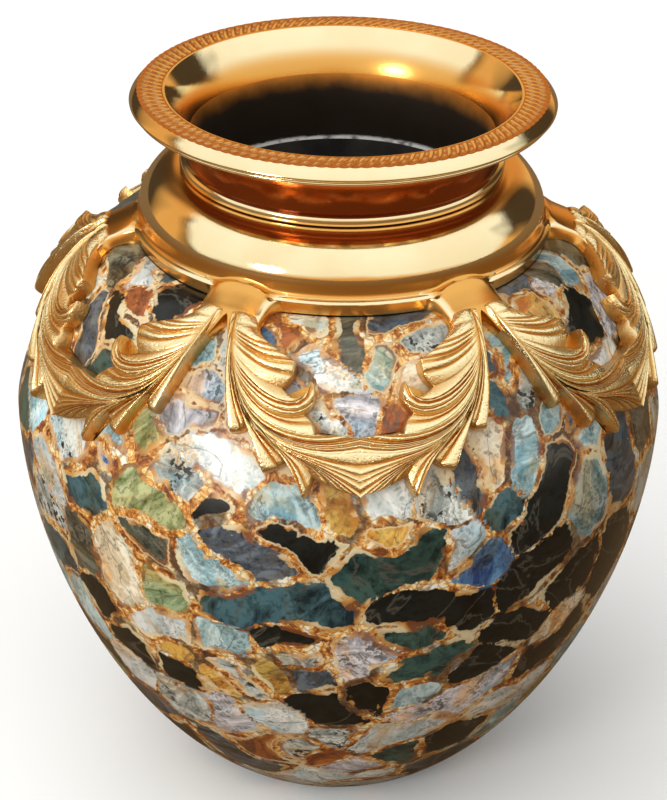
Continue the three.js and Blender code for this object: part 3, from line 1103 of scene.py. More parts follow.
class LeafSide:
    """One side of half a festoon: the fan of veins between the stem and one margin."""

    FACE = 10
    BEVEL = 4

    def __init__(
        self, stone: StoneLine, veins: tuple, margins: tuple, bevel: float, fade: float, relief: Relief
    ) -> None:
        """Draws the main veins.

        Args:
            stone: the line that the leaf lies on.
            veins: the main veins, from the root to the middle.
            margins: the edges between them.
            bevel: the width of the edge's slope.
            fade: how far the flutes die away towards the edge, from 0 to 1.
            relief: the leaf's heights.
        """
        self.fade = fade
        self.stone = stone
        self.veins = veins
        self.margins = margins
        self.bevel = bevel
        self.relief = relief
        self.stem = spline([Vector(place) for place in STEM])
        self.lines = []
        for vein in veins:
            root = self.stem.at(vein.leaves_at)
            self.lines.append(spline([root, *[Vector(place) for place in vein.through]]))
        last = veins[-1].leaves_at
        rest = [self.stem.at(mix(last, 1.0, step / 24)) for step in range(25)]
        self.lines.append(Polyline(rest))

    def margin_line(self, index: int) -> Polyline:
        """The margin between two main veins' ends.

        Args:
            index: the place of the first of the two veins.

        Returns:
            The edge, from the first vein's end to the second's.
        """
        margin = self.margins[index]
        start, end = self.lines[index].at(1), self.lines[index + 1].at(1)
        start_way = (start - self.lines[index].at(0.93)).normalized()
        end_way = (end - self.lines[index + 1].at(0.93)).normalized()
        along = (end - start).normalized()
        outwards = Vector((-along.y, along.x))
        if outwards.dot(start_way + end_way) < 0:
            outwards.negate()
        bulge = (start + end) / 2 + outwards * margin.swell * 2
        start_side = along - start_way * along.dot(start_way)
        end_side = -along + end_way * along.dot(end_way)
        first = start.lerp(bulge, 0.62) + start_side * margin.round_start
        second = end.lerp(bulge, 0.62) + end_side * margin.round_end
        return Polyline(bezier((start, first, second, end), 24))

    def lift(self, between: float, along: float, index: int, share: float) -> tuple:
        """The face's height and its painted shade, deep in the flutes, at the stem and in the notches.

        Args:
            between: the crest's height at this place of the margin, from -1 in a notch to 1 on a lobe.
            along: how far along the vein, from 0 at the stem to 1 at the margin.
            index: the margin's place in the row.
            share: how far along the margin.

        Returns:
            The lift in millimetres and the painted shade from 0 to 1.
        """
        relief = self.relief
        flutes = self.margins[index].flutes if index < len(self.margins) else 4
        spread = share + 0.09 * math.sin(math.tau * share + 2.4 * index)
        ridge = abs(math.sin(math.pi * flutes * spread)) ** 0.42
        fan = smooth(0.02, 0.3, along) * (1 - self.fade * smooth(0.78, 1.0, along))
        swell = math.sin(math.pi * min(along * 0.9 + 0.03, 1.0)) ** 0.7
        lift = mix(relief.seam, relief.edge, along) + relief.swell * swell
        lift += relief.crest * between * along**1.3
        lift += relief.flute * (ridge - 0.78) * 1.9 * fan
        # Painted shade in the flutes, at the stem and in the notches.
        painted_shade = smooth(0.13, 0.5, 1 - ridge) * smooth(0.02, 0.16, along)
        painted_shade = max(painted_shade, (1 - smooth(0.0, 0.07, along)) * 0.85, 0.5 * smooth(0.2, 1.0, -between) * along)
        return lift, min(painted_shade, 1.0)

    def samples(self) -> list:
        """The places along the margin: the margin's index, the share of it and whether it is bevelled."""
        places = []
        for index, margin in enumerate(self.margins):
            count = 10 * margin.flutes + 2
            places += [(index, step / count, 1.0) for step in range(count)]
        places += [(len(self.margins), step / 24, 0.0) for step in range(25)]
        return places

    def ribs(self, hand: int) -> tuple:
        """The skin's rows of places and the painted shade at each, which deepens down the bevel and under the leaf.

        Args:
            hand: 1 for the right half of the festoon, -1 for the left.

        Returns:
            The rows of places in metres and the matching rows of painted shade.
        """
        edges = [self.margin_line(index) for index in range(len(self.margins))]
        count = len(self.margins)
        edges.append(Polyline([self.lines[count].at(1), self.lines[count + 1].at(1)]))
        crests = [vein.crest for vein in self.veins] + [-0.2]
        leaves = [vein.leaves_at for vein in self.veins]
        rows, shade_marks = [], []
        for index, share, bevelled in self.samples():
            first, second = self.lines[index], self.lines[index + 1]
            end = edges[index].at(share)
            eased = smooth(0.0, 1.0, share)
            crest = mix(crests[index], crests[index + 1], eased)
            last_leaf = index >= count
            leaves_here = leaves[index] if last_leaf else mix(leaves[index], leaves[index + 1], share)
            root_fix = self.stem.at(leaves_here) - first.at(0).lerp(second.at(0), share)
            end_fix = end - first.at(1).lerp(second.at(1), share)

            def on_vein(along: float) -> Vector:
                """The place on this rib a share of the way from the stem to the margin."""
                place = first.at(along).lerp(second.at(along), share)
                return place + root_fix * (1 - along) ** 2 + end_fix * along**2

            length = Polyline([on_vein(step / 8) for step in range(9)]).length
            width = self.bevel * bevelled * (self.margins[index].bevel if index < count else 0.0)
            face_share = 1 - min(width / max(length, 0.1), 0.35)
            row, depth = [], []
            for step in range(self.FACE + 1):
                along = face_share * step / self.FACE
                lift, painted_shade = self.lift(crest, step / self.FACE, index, share)
                row.append((on_vein(along), lift))
                depth.append(painted_shade)
            edge_lift = row[-1][1]
            # Painted shade grows down the bevel; the margin and the underside are painted fully shaded.
            for step in range(1, self.BEVEL + 1):
                angle = math.pi / 2 * step / self.BEVEL
                out = math.sin(angle) ** 0.9
                drop = (1 - math.cos(angle)) ** 1.15
                place = on_vein(mix(face_share, 1.0, out))
                row.append((place, mix(edge_lift, edge_lift * 0.35, drop)))
                depth.append(0.25 + 0.5 * drop)
            row.append((end, self.relief.underside))
            depth.append(0.9)
            for along in (0.5, 0.0):
                row.append((on_vein(along), self.relief.underside))
                depth.append(1.0)
            row.append(row[0])
            depth.append(depth[0])
            rows.append([self.stone.place(hand * place.x, place.y, lift) for place, lift in row])
            shade_marks.append(depth)
        cap_ends(rows, shade_marks, 1.0)
        return rows, shade_marks

    def build(self, name: str, hand: int) -> bpy.types.Object:
        """Lays the skin of this side and marks its grooves.

        Args:
            name: the piece's name.
            hand: 1 for the right half of the festoon, -1 for the left.

        Returns:
            The piece.
        """
        rows, shade_marks = self.ribs(hand)
        return lay_grid(name, rows, 55, shade_marks)


class FestoonCollar:
    """The casting: the domed collar, its skirt, the webs between the windows and the leaf festoons."""

    FESTOONS = 6

    def __init__(self, sizes: Collar, vessel: Vessel, relief: Relief) -> None:
        """Works out the collar's radii and heights.

        Args:
            sizes: the collar's own sizes.
            vessel: the vessel that it lies on.
            relief: the heights of the leaves.
        """
        self.sizes = sizes
        self.vessel = vessel
        self.relief = relief
        self.stone = StoneLine(vessel)
        self.skirt_foot = vessel.shoulder_height + sizes.seat_gap
        self.skirt_top = self.skirt_foot + sizes.skirt_height
        self.dome_foot = self.skirt_top + sizes.skirt_lip + sizes.skirt_neck
        self.top = vessel.shoulder_height + sizes.rise
        self.land_radius = sizes.hole_radius + sizes.land
        self.outer_radius = vessel.shoulder_radius + sizes.bulge

    def dome(self, inset: float, steps: int) -> list:
        """The dome's section from its top land out and down to its foot.

        Args:
            inset: how far inside the outer face it lies.
            steps: how many stretches it has.

        Returns:
            [radius, height] pairs.
        """
        radius, top = self.outer_radius - inset, self.top - inset
        round_share = 0.5
        curve = bezier(
            (
                Vector((self.land_radius, top)),
                Vector((mix(self.land_radius, radius, round_share), top)),
                Vector((radius - 0.3, mix(self.dome_foot, top, 0.44))),
                Vector((radius, self.dome_foot)),
            ),
            steps,
        )
        return [(place.x, place.y) for place in curve]

    def hollow(self, steps: int) -> list:
        """The hollow between the lip and the dome, from the lip up.

        Args:
            steps: how many stretches it has.

        Returns:
            Its places, each a radius and a height.
        """
        skirt, lip = self.vessel.shoulder_radius, self.skirt_top - self.sizes.skirt_lip + 0.5
        return bezier(
            (
                Vector((skirt + 0.75, lip + 0.95)),
                Vector((skirt - 0.9, lip + 1.0)),
                Vector((self.outer_radius, self.dome_foot - 3.6)),
                Vector((self.outer_radius, self.dome_foot)),
            ),
            steps,
        )

    def ring(self) -> bpy.types.Object:
        """The turned part of the collar."""
        sizes = self.sizes
        skirt = self.vessel.shoulder_radius
        section = [(skirt - 0.3, self.skirt_foot), (skirt, self.skirt_foot + 0.3)]
        section += [(skirt, self.skirt_top - sizes.skirt_lip - 0.6)]
        lip = self.skirt_top - sizes.skirt_lip + 0.5
        section += [(skirt + 1.2, lip - 0.7), (skirt + 1.8, lip - 0.45), (skirt + 1.85, lip - 0.1)]
        section += [(place.x, place.y) for place in self.hollow(10)]
        section += self.dome(0, 24)[::-1][1:]
        section += [(sizes.hole_radius, self.top), (sizes.hole_radius, self.top - sizes.wall)]
        section += self.dome(sizes.wall, 10)
        section += [(skirt - sizes.wall, self.skirt_foot)]
        piece = turn("collar_ring", section, 192, 40)

        def shade(radius: float, height: float) -> float:
            """Painted shade: the skirt's face, the hollow over the lip and the top under the neck are painted towards
            the deep tone; the lip and the dome are left bright.
            """
            face = 0.75 * (height < lip - 0.7)
            dome = smooth(-2.0, 3.5, height - self.dome_foot)
            hollow_depth = 0.85 * smooth(lip + 0.95, lip + 1.6, height) * (1 - dome)
            under_neck = 0.55 * smooth(self.top - 4.0, self.top - 0.5, height)
            return max(face, hollow_depth, under_neck)

        mark_painted_shade(piece, shade)
        return piece

    def web_path(self) -> list:
        """The web's top line from inside the ring out over the stone.

        Returns:
            For each step its place in the web's middle, its place at the web's sides and its distance down the stone.
        """
        lift = 4.9
        out_to = 8.0
        landing = self.stone.lifted(out_to, lift)
        ahead = (self.stone.lifted(out_to + 1, lift) - landing).normalized()
        lip = Vector((self.vessel.shoulder_radius + 1.6, self.skirt_top - self.sizes.skirt_lip + 0.5))
        middle = bezier(
            (
                Vector((self.outer_radius - 0.1, self.dome_foot + 0.4)),
                Vector((self.outer_radius - 0.1, self.dome_foot - 4.4)),
                lip + Vector((-0.4, 1.0)),
                landing,
            ),
            14,
        )
        inner = [place - Vector((0.12, 0.0)) for place in self.hollow(7)[::-1]] + [lip - Vector((0.1, 0.3))]
        outer = bezier((lip, lip + Vector((1.6, -0.1)), landing - ahead * 3.4, landing), 6)
        sides = [*inner, *outer[1:]]
        path = []
        for step, (place, side) in enumerate(zip(middle, sides)):
            path.append((place, side, out_to * max(step - 6, 0) / 8))
        down = out_to + 1.0
        while down < 21:
            place = self.stone.lifted(down, lift)
            path.append((place, place, down))
            down += 1.1
        return path

    def web_half(self, hand: int) -> bpy.types.Object:
        """Half of the web between two windows, with the smooth strip that runs on under one leaf.

        Args:
            hand: 1 for the half right of the web's middle, -1 for the half left of it.

        Returns:
            The piece.
        """
        half_sector = math.pi / self.FESTOONS
        corner = 7.0
        across = 12
        painted_highlight_lip = 3.4
        foot_shade = 0.8
        rows, shade_marks = [], []
        for order, (place, side, down) in enumerate(self.web_path()):
            turns_from = mix(0.0, 0.8, smooth(2, 9, order))
            stone_radius = self.stone.radius(down)
            middle = half_sector * stone_radius
            inset = max(corner - down, 0.0)
            fillet = corner - math.sqrt(max(corner**2 - inset**2, 0.0))
            window_side = middle - mix(31.4, 36.6, smooth(0, 13, down)) + fillet
            window_side += 2.6 * smooth(12, 20, down)
            leaf_side = max(middle - 49.4, 0.0) * math.sqrt(smooth(8.2, 13.5, down))
            crown = Vector((0.5, 1.3)) * smooth(2, 7, order) * smooth(19, 9, down)
            row = []
            outline = [(leaf_side, 0.0), (leaf_side, 0.8), (leaf_side + 0.4 * (leaf_side > 0), 1.0)]
            for step in range(1, across):
                outline.append((mix(leaf_side, window_side - 1.3, step / across), 1.0))
            outline += [(window_side - 1.3, 1.0), (window_side - 0.5, 0.97), (window_side, 0.85)]
            outline += [(window_side + 0.3, 0.0), (mix(leaf_side, window_side, 0.5), 0.0), (leaf_side, 0.0)]
            for sideways, height in outline:
                top = place.lerp(side, smooth(turns_from, 1.0, sideways / max(window_side - fillet, 1.0)))
                top = top + crown * (1 - min(sideways / max(window_side, 1.0), 1.0) ** 2)
                foot = self.stone.lifted(max(down, 0.0), self.relief.underside)
                foot.x = min(foot.x, max(top.x - 1.0, self.vessel.shoulder_radius - 0.2))
                spot = foot.lerp(top, height)
                angle = half_sector + hand * sideways / stone_radius
                row.append(Vector((spot.x * math.sin(angle), -spot.x * math.cos(angle), spot.y)) * MM)
            rows.append(row)
            # Painted shade on the web's top and foot, with a pale painted highlight along the window's lip.
            lip_from = window_side - painted_highlight_lip
            shade_marks.append([])
            for edge, height in outline:
                top_shade = 0.85 - 0.85 * smooth(lip_from, lip_from + 1.6, edge)
                shade_marks[-1].append(top_shade if height > 0.9 else foot_shade)
        cap_ends(rows, shade_marks, foot_shade)
        return lay_grid("web_half", rows, 50, shade_marks)

    def festoon(self) -> bpy.types.Object:
        """One whole festoon, from its left root round to its right one."""
        window = LeafSide(self.stone, WINDOW_VEINS, WINDOW_MARGINS, self.relief.window_bevel, 0.45, self.relief)
        outer = LeafSide(self.stone, OUTER_VEINS, OUTER_MARGINS, self.relief.outer_bevel, 0.35, self.relief)
        sides = []
        for hand in (1, -1):
            sides += [window.build("window_side", hand), outer.build("outer_side", hand)]
        return join("festoon", sides)

    def build(self) -> bpy.types.Object:
        """Builds the whole casting: the ring and the webs are polished, the leaves are left as cast."""
        smooth_parts = [self.ring()]
        for hand in (1, -1):
            smooth_parts += copy_round(self.web_half(hand), self.FESTOONS)
        festoons = copy_round(self.festoon(), self.FESTOONS)
        polished, cast = POLISHED.make(), CAST.make()
        for part in smooth_parts:
            dress(part, [polished])
        for part in festoons:
            dress(part, [cast])
        return join("festoon_collar_casting", [*smooth_parts, *festoons])


# Finishes


class Nodes:
    """A short way to write a material's node tree."""

    def __init__(self, tree: bpy.types.NodeTree) -> None:
        """Keeps the tree and clears it.

        Args:
            tree: the tree to write.
        """
        self.tree = tree
        tree.nodes.clear()

    def add(self, kind: str, settings: dict | None = None, inputs: dict | None = None) -> bpy.types.Node:
        """Adds a node.

        Args:
            kind: the node's type name, without its ShaderNode prefix.
            settings: the node's own options.
            inputs: values or output sockets for its inputs, by name or number.

        Returns:
            The node.
        """
        node = self.tree.nodes.new(f"ShaderNode{kind}")
        for key, value in (settings or {}).items():
            setattr(node, key, value)
        for key, value in (inputs or {}).items():
            if isinstance(value, bpy.types.NodeSocket):
                self.tree.links.new(value, node.inputs[key])
            else:
                node.inputs[key].default_value = value
        return node

    def math(self, operation: str, *values: object) -> bpy.types.NodeSocket:
        """A sum on numbers.

        Args:
            operation: the Math node's operation.
            values: its inputs.

        Returns:
            The result's socket.
        """
        return self.add("Math", {"operation": operation}, dict(enumerate(values))).outputs[0]

    def noise(self, place: bpy.types.NodeSocket, scale: object, detail: float, **more: float) -> object:
        """A noise texture.

        Args:
            place: the coordinates that it reads.
            scale: how fine it is.
            detail: how many finer layers it has.
            more: its Roughness or Distortion.

        Returns:
            Its outputs: the number, and the colour.
        """
        return self.add("TexNoise", None, {"Vector": place, "Scale": scale, "Detail": detail, **more}).outputs

    def span(
        self, value: bpy.types.NodeSocket, start: float, end: float, low: float = 0.0, high: float = 1.0
    ) -> bpy.types.NodeSocket:
        """A number that goes from low to high while the given value goes from start to end.

        Args:
            value: the number that it reads.
            start: the value at which it leaves low.
            end: the value at which it reaches high.
            low: what it gives up to the start.
            high: what it gives from the end on.

        Returns:
            The number's socket.
        """
        return self.add("MapRange", None, {0: value, 1: start, 2: end, 3: low, 4: high}).outputs[0]

    def ramp(self, value: bpy.types.NodeSocket, stops: list) -> bpy.types.NodeSocket:
        """A colour ramp.

        Args:
            value: the number that it reads.
            stops: [place, colour] pairs, with a colour of three numbers or one grey.

        Returns:
            The colour's socket.
        """
        node = self.add("ValToRGB", None, {0: value})
        band = node.color_ramp
        while len(band.elements) > 1:
            band.elements.remove(band.elements[-1])
        for order, (place, colour) in enumerate(stops):
            stop = band.elements[0] if order == 0 else band.elements.new(place)
            stop.position = place
            stop.color = (colour, colour, colour, 1) if isinstance(colour, float) else (*colour, 1)
        return node.outputs[0]

    def blend(self, share: object, first: object, second: object, way: str = "MIX") -> bpy.types.NodeSocket:
        """A mix of two colours.

        Args:
            share: how much of the second.
            first: the first colour or its socket.
            second: the second colour or its socket.
            way: the mix's blend type.

        Returns:
            The colour's socket.
        """
        node = self.add("Mix", {"data_type": "RGBA", "blend_type": way}, {0: share})
        for slot, value in ((6, first), (7, second)):
            if isinstance(value, bpy.types.NodeSocket):
                self.tree.links.new(value, node.inputs[slot])
            else:
                node.inputs[slot].default_value = (*value, 1)
        return node.outputs[2]


def blank_material(name: str) -> tuple[bpy.types.Material, Nodes]:
    """A new material and its empty node tree.

    Args:
        name: the material's name.

    Returns:
        The material, and the writer of its nodes.
    """
    material = bpy.data.materials.new(name)
    material.use_nodes = True
    return material, Nodes(material.node_tree)


def patina_and_painted_shade() -> bpy.types.NodeTree:
    """The tone, the roughness and the relief of gilt metal, as a node group that each gilt finish places; its shade
    input pulls the tone towards the deep colour, painted shade in hollows, grooves and bevels.
    """
    known = bpy.data.node_groups.get("patina_and_painted_shade")
    if known:
        return known
    group = bpy.data.node_groups.new("patina_and_painted_shade", "ShaderNodeTree")
    for name, kind in (
        ("Pale", "NodeSocketColor"), ("Deep", "NodeSocketColor"), ("PaintedShade", "NodeSocketFloat"),
        ("Grain", "NodeSocketFloat"), ("Roughness", "NodeSocketFloat"),
    ):
        group.interface.new_socket(name, in_out="INPUT", socket_type=kind)
    for name, kind in (("Tone", "NodeSocketColor"), ("Roughness", "NodeSocketFloat"), ("Height", "NodeSocketFloat")):
        group.interface.new_socket(name, in_out="OUTPUT", socket_type=kind)
    nodes = Nodes(group)
    given = group.nodes.new("NodeGroupInput").outputs
    place = nodes.add("TexCoord").outputs["Object"]
    cloud = nodes.noise(place, 38.0, 4.0)[0]
    pores = nodes.noise(place, given["Grain"], 4.0)[0]
    spots = nodes.ramp(pores, [(0.3, 0.0), (0.42, 1.0)])
    # The tone: painted shade where the shade input is high, times the metal's own uneven tone from the clouds.
    unshaded = nodes.math("SUBTRACT", 1.0, given["PaintedShade"])
    wear_and_shade = nodes.math("MULTIPLY", unshaded, nodes.ramp(cloud, [(0.25, 0.88), (0.6, 1.0)]))
    tone = nodes.blend(nodes.math("POWER", wear_and_shade, 1.8), given["Deep"], given["Pale"])
    rough = nodes.math("MULTIPLY", given["Roughness"], nodes.ramp(cloud, [(0.3, 0.85), (0.75, 1.35)]))
    rough = nodes.math("ADD", rough, nodes.math("MULTIPLY", given["PaintedShade"], 0.18))
    fine = nodes.math("ADD", nodes.math("MULTIPLY", spots, 0.5), pores)
    height = nodes.math("MULTIPLY_ADD", cloud, 5.0, fine)
    out = group.nodes.new("NodeGroupOutput").inputs
    for name, socket in (("Tone", tone), ("Roughness", rough), ("Height", height)):
        group.links.new(socket, out[name])
    return group


@dataclass(frozen=True)
class Gilt:
    """A gilt metal finish: its pale and deep colours, its roughness, and how its grain stands out, with painted shade
    from its mesh's mark where it reads one.
    """

    name: str
    pale: tuple
    deep: tuple
    roughness: float
    grain: float
    relief: float
    distance: float
    reads_painted_shade: bool = False

    def make(self) -> bpy.types.Material:
        """Makes the material, once for all pieces that wear it."""
        known = bpy.data.materials.get(self.name)
        if known:
            return known
        material, nodes = blank_material(self.name)
        values = {
            "Pale": (*self.pale, 1), "Deep": (*self.deep, 1), "PaintedShade": 0.0,
            "Grain": self.grain, "Roughness": self.roughness,
        }
        # Painted shade: the mesh's mark pulls the gilt towards its deep colour.
        if self.reads_painted_shade:
            values["PaintedShade"] = nodes.add("Attribute", {"attribute_name": "painted_shade"}).outputs["Fac"]
        wear_and_shade = nodes.add("Group", {"node_tree": patina_and_painted_shade()}, values).outputs
        bump = nodes.add("Bump", None, {"Strength": self.relief, "Distance": self.distance, "Height": wear_and_shade["Height"]})
        shader = nodes.add(
            "BsdfPrincipled",
            None,
            {"Base Color": wear_and_shade["Tone"], "Metallic": 1.0, "Roughness": wear_and_shade["Roughness"], "Normal": bump.outputs[0]},
        )
        nodes.add("OutputMaterial", None, {0: shader.outputs[0]})
        return material


@dataclass(frozen=True)
class BareInside:
    """The unpolished inside of the vessel: near-black, with a faint mottle."""

    name: str = "bare_inside"

    def make(self) -> bpy.types.Material:
        """Makes the material."""
        material, nodes = blank_material(self.name)
        place = nodes.add("TexCoord").outputs["Object"]
        cloud = nodes.noise(place, 60.0, 5.0)[0]
        tone = nodes.ramp(cloud, [(0.3, (0.012, 0.011, 0.012)), (0.7, (0.05, 0.045, 0.04))])
        bump = nodes.add("Bump", None, {"Strength": 0.5, "Distance": 0.0006, "Height": cloud})
        shader = nodes.add("BsdfPrincipled", None, {"Base Color": tone, "Roughness": 0.6, "Normal": bump.outputs[0]})
        nodes.add("OutputMaterial", None, {0: shader.outputs[0]})
        return material


@dataclass(frozen=True)
class LipRing:
    """The ground stone lip of the vessel under the neck's tube, painted with pale patches as a painted highlight along
    its edge.
    """

    name: str = "lip_ring"

    def make(self) -> bpy.types.Material:
        """Makes the material."""
        material, nodes = blank_material(self.name)
        place = nodes.add("TexCoord").outputs["Object"]
        cloud = nodes.noise(place, 160.0, 4.0)[0]
        tone = nodes.ramp(cloud, [(0.4, (0.10, 0.10, 0.10)), (0.52, (0.5, 0.5, 0.49))])
        shader = nodes.add("BsdfPrincipled", None, {"Base Color": tone, "Roughness": 0.3})
        nodes.add("OutputMaterial", None, {0: shader.outputs[0]})
        return material


@dataclass(frozen=True)
class MosaicStone:
    """Polished fragments of stone in a rusty, veined matrix, under a clear coat."""

    name: str = "mosaic_stone"

    def inside_stone(self, nodes: Nodes, place: bpy.types.NodeSocket, traits: list) -> bpy.types.NodeSocket:
        """The colour within a stone: clouds and streaks from its light to its dark colour, and its speckles.

        Args:
            nodes: the material's nodes.
            place: the object's coordinates.
            traits: the sockets of the stone's speckle and of its two numbers of chance.

        Returns:
            The colour's socket.
        """
        speckle, first, second = traits
        light = nodes.add("Attribute", {"attribute_name": "light"}).outputs["Color"]
        dark = nodes.add("Attribute", {"attribute_name": "dark"}).outputs["Color"]
        angle = nodes.math("MULTIPLY", first, math.tau)
        turned = nodes.add(
            "VectorRotate", {"rotation_type": "AXIS_ANGLE"}, {"Vector": place, "Axis": (0.5, 0.7, 0.5), "Angle": angle}
        ).outputs[0]
        moved = nodes.add("VectorMath", {"operation": "ADD"}, {0: turned, 1: nodes.math("MULTIPLY", second, 9.0)})
        drawn = nodes.add("VectorMath", {"operation": "MULTIPLY"}, {0: moved.outputs[0], 1: (1, 1, 2.1)}).outputs[0]
        clouds = nodes.noise(drawn, 40.0, 9.0, Roughness=0.66, Distortion=1.3)[0]
        tints = nodes.noise(drawn, 30.0, 5.0, Distortion=0.8)[1]
        tints = nodes.add("SeparateColor", None, {0: tints}).outputs
        flecks = nodes.noise(moved.outputs[0], 380.0, 3.0)[0]
        patches = nodes.noise(moved.outputs[0], 75.0, 4.0)[0]
        shares = nodes.ramp(clouds, [(0.38, 0.0), (0.45, 0.35), (0.5, 0.5), (0.53, 0.85), (0.64, 1.0)])
        colour = nodes.blend(shares, dark, light)
        ochre = nodes.blend(nodes.ramp(tints[0], [(0.54, 0.0), (0.64, 0.7)]), colour, (1.0, 0.62, 0.28), "MULTIPLY")
        bluish = nodes.ramp(tints[1], [(0.55, 0.0), (0.66, 0.8)])
        colour = nodes.blend(bluish, ochre, (0.62, 0.86, 1.0), "MULTIPLY")
        fine = nodes.ramp(flecks, [(0.35, 0.38), (0.43, 0.74), (0.51, 1.0)])
        colour = nodes.blend(nodes.ramp(patches, [(0.42, 0.35), (0.58, 1.0)]), colour, fine, "MULTIPLY")
        veins = nodes.noise(drawn, 22.0, 7.0, Distortion=0.6)[0]
        veins = nodes.math("ABSOLUTE", nodes.math("SUBTRACT", veins, 0.5))
        colour = nodes.blend(nodes.ramp(veins, [(0.0, 0.75), (0.012, 0.0)]), colour, (0.10, 0.09, 0.07))
        spots = nodes.math("MULTIPLY", nodes.ramp(flecks, [(0.5, 0.0), (0.57, 1.0)]), speckle)
        spots = nodes.math("MULTIPLY", spots, nodes.ramp(patches, [(0.42, 0.0), (0.56, 1.0)]))
        return nodes.blend(spots, colour, (0.02, 0.025, 0.022))

    def matrix(self, nodes: Nodes, place: bpy.types.NodeSocket) -> bpy.types.NodeSocket:
        """The colour between the stones: rusty crumbs with dark cracks and pale lime.

        Args:
            nodes: the material's nodes.
            place: the object's coordinates.

        Returns:
            The colour's socket.
        """
        mottle = nodes.noise(place, 150.0, 7.0, Roughness=0.7, Distortion=0.8)[0]
        tone = nodes.ramp(
            mottle,
            [
                (0.34, (0.03, 0.02, 0.015)),
                (0.42, (0.26, 0.075, 0.02)),
                (0.48, (0.62, 0.24, 0.045)),
                (0.53, (0.85, 0.50, 0.14)),
                (0.57, (0.90, 0.76, 0.44)),
                (0.64, (0.86, 0.85, 0.76)),
            ],
        )
        bent = nodes.noise(place, 190.0, 3.0)[1]
        shift = nodes.add("VectorMath", {"operation": "MULTIPLY_ADD"}, {0: bent, 1: (0.006,) * 3, 2: place}).outputs[0]
        cracks = nodes.add("TexVoronoi", {"feature": "DISTANCE_TO_EDGE"}, {"Vector": shift, "Scale": 260.0}).outputs[0]
        crumbly = nodes.blend(nodes.ramp(cracks, [(0.02, 0.55), (0.14, 0.0)]), tone, (0.16, 0.045, 0.015))
        grout = nodes.noise(place, 55.0, 4.0)[0]
        return nodes.blend(nodes.ramp(grout, [(0.53, 0.0), (0.6, 0.8)]), crumbly, (0.055, 0.04, 0.03))

    def make(self) -> bpy.types.Material:
        """Makes the material."""
        material, nodes = blank_material(self.name)
        place = nodes.add("TexCoord").outputs["Object"]
        edge = nodes.add("Attribute", {"attribute_name": "edge"}).outputs["Fac"]
        marks = nodes.add("Attribute", {"attribute_name": "traits"}).outputs["Color"]
        traits = list(nodes.add("SeparateColor", None, {0: marks}).outputs)[:3]
        ragged = nodes.noise(place, 420.0, 4.0)[0]
        broad = nodes.noise(place, 30.0, 3.0)[0]
        width = nodes.span(broad, 0.42, 0.66, 0.6, 2.3)
        reach = nodes.math("MULTIPLY_ADD", nodes.math("SUBTRACT", ragged, 0.5), 2.6, edge)
        inside = nodes.math("SUBTRACT", reach, width)
        seam = nodes.span(inside, -0.18, 0.18, 1.0, 0.0)
        lined = nodes.math("GREATER_THAN", traits[2], 0.84)
        line = nodes.span(inside, 0.5, 0.9, 0.7, 0.0)
        stain = nodes.span(inside, 0.0, 3.4, 1.0, 0.0)
        dusty = nodes.noise(place, 48.0, 6.0, Distortion=0.7)
        stain = nodes.math("MULTIPLY", stain, nodes.ramp(dusty[0], [(0.44, 0.0), (0.58, 1.0)]))
        stain = nodes.ramp(stain, [(0.3, 0.0), (0.4, 0.7), (0.8, 0.85)])
        hue = nodes.add("SeparateColor", None, {0: dusty[1]}).outputs[1]
        rust, ochre, lime = (0.22, 0.07, 0.025), (0.66, 0.32, 0.07), (0.80, 0.68, 0.42)
        stain_colour = nodes.ramp(hue, [(0.42, rust), (0.5, ochre), (0.58, lime)])
        colour = self.inside_stone(nodes, place, traits)
        colour = nodes.blend(stain, colour, stain_colour)
        colour = nodes.blend(nodes.math("MULTIPLY", line, lined), colour, (0.74, 0.58, 0.34))
        colour = nodes.blend(seam, colour, self.matrix(nodes, place))
        rough = nodes.span(seam, 0.0, 1.0, 0.3, 0.5)
        bump = nodes.add("Bump", None, {"Strength": 0.12, "Distance": 0.0004, "Height": ragged})
        shader = nodes.add(
            "BsdfPrincipled",
            None,
            {
                "Base Color": colour,
                "Roughness": rough,
                "Specular IOR Level": 0.15,
                "Coat Weight": 0.45,
                "Coat Roughness": 0.16,
                "Normal": bump.outputs[0],
            },
        )
        nodes.add("OutputMaterial", None, {0: shader.outputs[0]})
        return material


@dataclass(frozen=True)
class PaintedShadeTube:
    """The inside of the neck's tube, painted near-black as painted shade, with a painted warm glow of reflected light
    at its top, where the flare meets it.
    """

    name: str = "tube_painted_shade"

    def make(self) -> bpy.types.Material:
        """Makes the material."""
        material, nodes = blank_material(self.name)
        place = nodes.add("TexCoord").outputs["Object"]
        height = nodes.add("SeparateXYZ", None, {0: place}).outputs[2]
        cloud = nodes.noise(place, 90.0, 5.0)[0]
        ragged = nodes.math("MULTIPLY_ADD", cloud, 0.006, height)
        # Painted light: a warm, more metallic glow at the tube's top, fading into the painted shade below.
        glow = nodes.span(ragged, 0.2815, 0.2895, 0.0, 1.0)
        tone = nodes.blend(nodes.math("POWER", glow, 1.6), (0.022, 0.014, 0.009), (0.70, 0.28, 0.05))
        shine = nodes.math("MULTIPLY_ADD", glow, 0.7, 0.25)
        rough = nodes.math("MULTIPLY_ADD", cloud, 0.3, 0.32)
        shader = nodes.add(
            "BsdfPrincipled",
            None,
            {"Base Color": tone, "Metallic": shine, "Roughness": rough, "Specular IOR Level": 0.4},
        )
        nodes.add("OutputMaterial", None, {0: shader.outputs[0]})
        return material


POLISHED = Gilt("polished_gilt", (0.96, 0.85, 0.56), (0.80, 0.42, 0.10), 0.07, 900.0, 0.05, 0.0002, reads_painted_shade=True)
